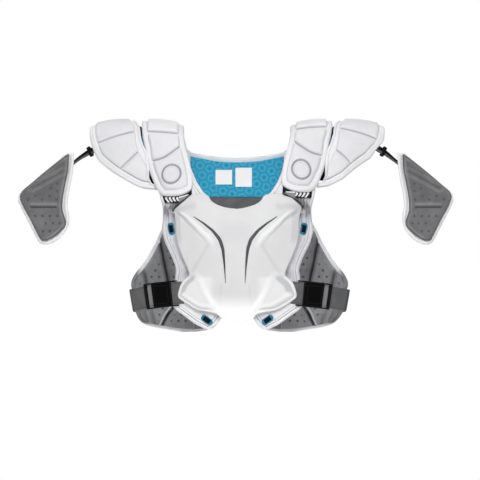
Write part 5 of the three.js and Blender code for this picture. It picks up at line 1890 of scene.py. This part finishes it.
def side_strap():
    rows, columns = GRIDS["side_strap"]
    turn = np.linspace(STRAP_ROUTE[0][0], STRAP_ROUTE[-1][0], rows)
    side = spread(columns, 0.3) * STRAP_WIDTH - STRAP_WIDTH / 2
    edge = STRAP_WIDTH / 2 - np.abs(side)
    crown = STRAP_THICKNESS - rounding(edge, 0.8, 1.2) - 0.35 * bump(edge - STRAP_STITCH, 0.9)
    length = strap_length(turn)
    ribs = 0.18 * np.sin(length * 2 * np.pi / 2.4)[:, None]
    top = on_strap(turn[:, None], side[None], crown[None] + ribs)
    under = on_strap(turn[:, None], side[None], rounding(edge, 0.6, 1.2)[None])
    uv = np.stack(np.broadcast_arrays(length[:, None], side[None]), -1)
    # Stitch lines, painted shade where the strap turns away round the side, and a painted highlight where it
    # shows in the buckle's window.
    print_and_painted_light = np.maximum(0.5 * bump(edge - STRAP_STITCH, 0.8)[None], (1 - step(95, 101, turn))[:, None])
    print_and_painted_light = print_and_painted_light - 0.45 * window(turn, 123.6, 124.6, 129.2, 130.2)[:, None]
    return closed(top, under, uv, print_and_painted_light)


BUCKLE = {"height": 44.5, "opening": 39.5, "thickness": 3.2}
# Turns where the buckle starts, its window opens and closes, its body ends and its ears end.
BUCKLE_TURNS = (121.5, 124.1, 129.6, 145.8, 150)
HOOK_TAB = {"from": 130.3, "to": 145.2, "height": 38.5, "thickness": 1.6, "stitch": 4}


def side_buckle():
    """A moulded frame: a window that shows the strap, a body under the tab, and two ears past it."""
    start, low, high, body_end, end = BUCKLE_TURNS
    parts = ((start, low, 10), (low + 0.4, high - 0.4, 16), (high, end, 50))
    turn = np.concatenate([np.linspace(*part) for part in parts])
    half, hole = BUCKLE["height"] / 2, BUCKLE["opening"] / 2
    rail = np.linspace(hole + 0.2, half, 9)
    side = np.concatenate([-rail[::-1], np.linspace(0.3 - hole, hole - 0.3, 60), rail])
    shape = len(turn), len(side)
    gone = (turn[:, None] > low + 0.2) & (turn[:, None] < high - 0.2) & (np.abs(side)[None] < hole)
    gone |= (turn[:, None] > body_end) & (np.abs(side)[None] < hole)
    length = strap_length(turn)
    place = np.stack(np.broadcast_arrays(length[:, None], side[None]), -1)
    keep = ~(gone[:-1, :-1] | gone[1:, :-1] | gone[:-1, 1:] | gone[1:, 1:])
    quads = grid_quads(*shape)[keep.ravel()]
    edges = {}
    for quad in quads:
        for a, b in zip(quad, np.roll(quad, -1)):
            if (b, a) in edges:
                del edges[(b, a)]
            else:
                edges[(a, b)] = True
    rim = np.array(list(edges))
    flat = place.reshape(-1, 2)
    inside = np.min([np.linalg.norm(flat - flat[a], axis=1) for a in np.unique(rim)], axis=0).reshape(shape)
    low = STRAP_THICKNESS + 0.4
    face = low + BUCKLE["thickness"] - rounding(inside + 0.05, 1.1, 1.4)
    top = on_strap(turn[:, None], side[None], face)
    under = on_strap(turn[:, None], side[None], np.full(shape, low))
    count = shape[0] * shape[1]
    points = np.concatenate([top.reshape(-1, 3), under.reshape(-1, 3)])
    walls = np.stack([rim[:, 1], rim[:, 0], rim[:, 0] + count, rim[:, 1] + count], -1)
    faces = turned_out(points, [np.concatenate([quads, quads[:, ::-1] + count, walls])])
    return trimmed(points, faces, np.concatenate([flat, flat]), np.zeros(len(points)))


def hook_tab():
    rows, columns = GRIDS["hook_tab"]
    half = HOOK_TAB["height"] / 2
    turn = np.linspace(HOOK_TAB["from"], HOOK_TAB["to"], rows)
    side = np.linspace(-half, half, columns)
    length = strap_length(turn)
    edge = np.minimum(half - np.abs(side)[None], np.minimum(length, length[-1] - length)[:, None])
    low = STRAP_THICKNESS + BUCKLE["thickness"] + 0.8
    puff = HOOK_TAB["thickness"] - rounding(edge, 0.9, 1.4) - 0.4 * bump(edge - HOOK_TAB["stitch"], 0.9)
    puff += 0.7 * step(4, 14, edge)
    top = on_strap(turn[:, None], side[None], low + puff)
    under = on_strap(turn[:, None], side[None], np.full_like(edge, low))
    uv = np.stack(np.broadcast_arrays(length[:, None], side[None]), -1)
    return closed(top, under, uv, 0.5 * bump(edge - HOOK_TAB["stitch"], 0.8))


add_pair("side_strap", side_strap(), STRAP_WEB)
add_pair("side_buckle", side_buckle(), BLACK_PLASTIC)
add_pair("hook_tab", hook_tab(), BLACK_WEB)

# Eyelets

# Place in the front view and lean of each.
EYELETS = (("upper", 113.6, -170.6, -11), ("lower", 52.5, -328.5, -54))
EYELET_LENGTH, EYELET_WIDTH, EYELET_RADIUS = 21.7, 11, 4.4
SLOT_LENGTH, SLOT_WIDTH, SLOT_RADIUS, SLOT_GAP = 13.5, 8, 2.2, 0.2
EYELET_PROUD = 6
# The moulded ring's section: share from its rim to the slot, and height.
EYELET_SECTION = (
    (0, 0.6), (0, 7), (0.14, 7.6), (0.3, 7.9), (0.75, 7.9), (0.92, 7.4), (1, 6.6), (1, 0.6)
)


def eyelet(x, z, lean):
    """The moulded ring and the bar in its slot, set in the vest and square to its face."""
    centre = body(-1, x, z, 0.0)
    right = body(-1, x + 1, z, 0.0) - centre
    up = body(-1, x, z + 1, 0.0) - centre
    face = np.cross(right, up)
    face /= np.linalg.norm(face)
    if face[1] > 0:
        face = -face
    up /= np.linalg.norm(up)
    right = np.cross(up, face)
    set_back = centre - face * EYELET_PROUD
    centre = body(-1, set_back[0], set_back[2], 0.0)
    turn = math.radians(lean)
    long = up * math.cos(turn) - right * math.sin(turn)
    wide = right * math.cos(turn) + up * math.sin(turn)
    outer = rounded_box(EYELET_WIDTH, EYELET_LENGTH, EYELET_RADIUS, 9)[0]
    inner = rounded_box(SLOT_WIDTH, SLOT_LENGTH, SLOT_RADIUS, 9)[0]
    spots = np.stack([lerp(outer, inner, share) for share in column(EYELET_SECTION, 0)], 1)
    height = np.array(column(EYELET_SECTION, 1))[None, :, None]
    points = (centre + spots[..., :1] * wide + spots[..., 1:] * long + height * face).reshape(-1, 3)
    faces = turned_out(points, [looped_quads(*spots.shape[:2])])
    ring = points, faces, spots.reshape(-1, 2), np.zeros(len(points))
    rows, columns = GRIDS["eyelet_bar"]
    a, b = np.meshgrid(np.linspace(-1, 1, columns), np.linspace(-1, 1, rows))
    reach = np.minimum(1, 1.12 - 0.12 * np.abs(b) ** 6)
    lift = 6.4 - 0.4 * np.maximum(np.abs(a), np.abs(b)) ** 6 + 0.4 * np.cos(b * 9)
    spot = centre + wide * (a * reach * (SLOT_WIDTH / 2 - SLOT_GAP))[..., None]
    spot = spot + long * (b * (SLOT_LENGTH / 2 - SLOT_GAP))[..., None]
    bar = closed(spot + face * lift[..., None], spot + face * 0.4, np.stack([a, b], -1) * 5)
    return ring, bar


for name, x, z, lean in EYELETS:
    ring, bar = eyelet(x, z, lean)
    add_pair(f"eyelet_ring_{name}", ring, BLUE_PLASTIC)
    add_pair(f"eyelet_bar_{name}", bar, BLACK_PLASTIC)

# Floor

FLOOR_LEVEL = -0.8
FLOOR_GLOW = 0.3


def make_floor():
    mesh = bpy.data.meshes.new("floor")
    corners = [(-3, -5, FLOOR_LEVEL), (3, -5, FLOOR_LEVEL), (3, 3, FLOOR_LEVEL), (-3, 3, FLOOR_LEVEL)]
    mesh.from_pydata(corners, [], [(0, 1, 2, 3)])
    floor = bpy.data.objects.new("floor", mesh)
    shader = Shader("floor_paint", 0.9, 0.0, 0.2)
    mottle = shader.noise(shader.solid(), 2.0)
    shader.colour(shader.ramp(mottle, 0.3, 0.7, (0.86, 0.86, 0.86), (0.9, 0.9, 0.9)))
    seen = shader.math("MULTIPLY", shader.node("LightPath").outputs["Is Camera Ray"], FLOOR_GLOW)
    shader.surface.inputs["Emission Color"].default_value = (1, 1, 1, 1)
    shader.tree.links.new(seen, shader.surface.inputs["Emission Strength"])
    mesh.materials.append(shader.material)
    bpy.context.scene.collection.objects.link(floor)


make_floor()
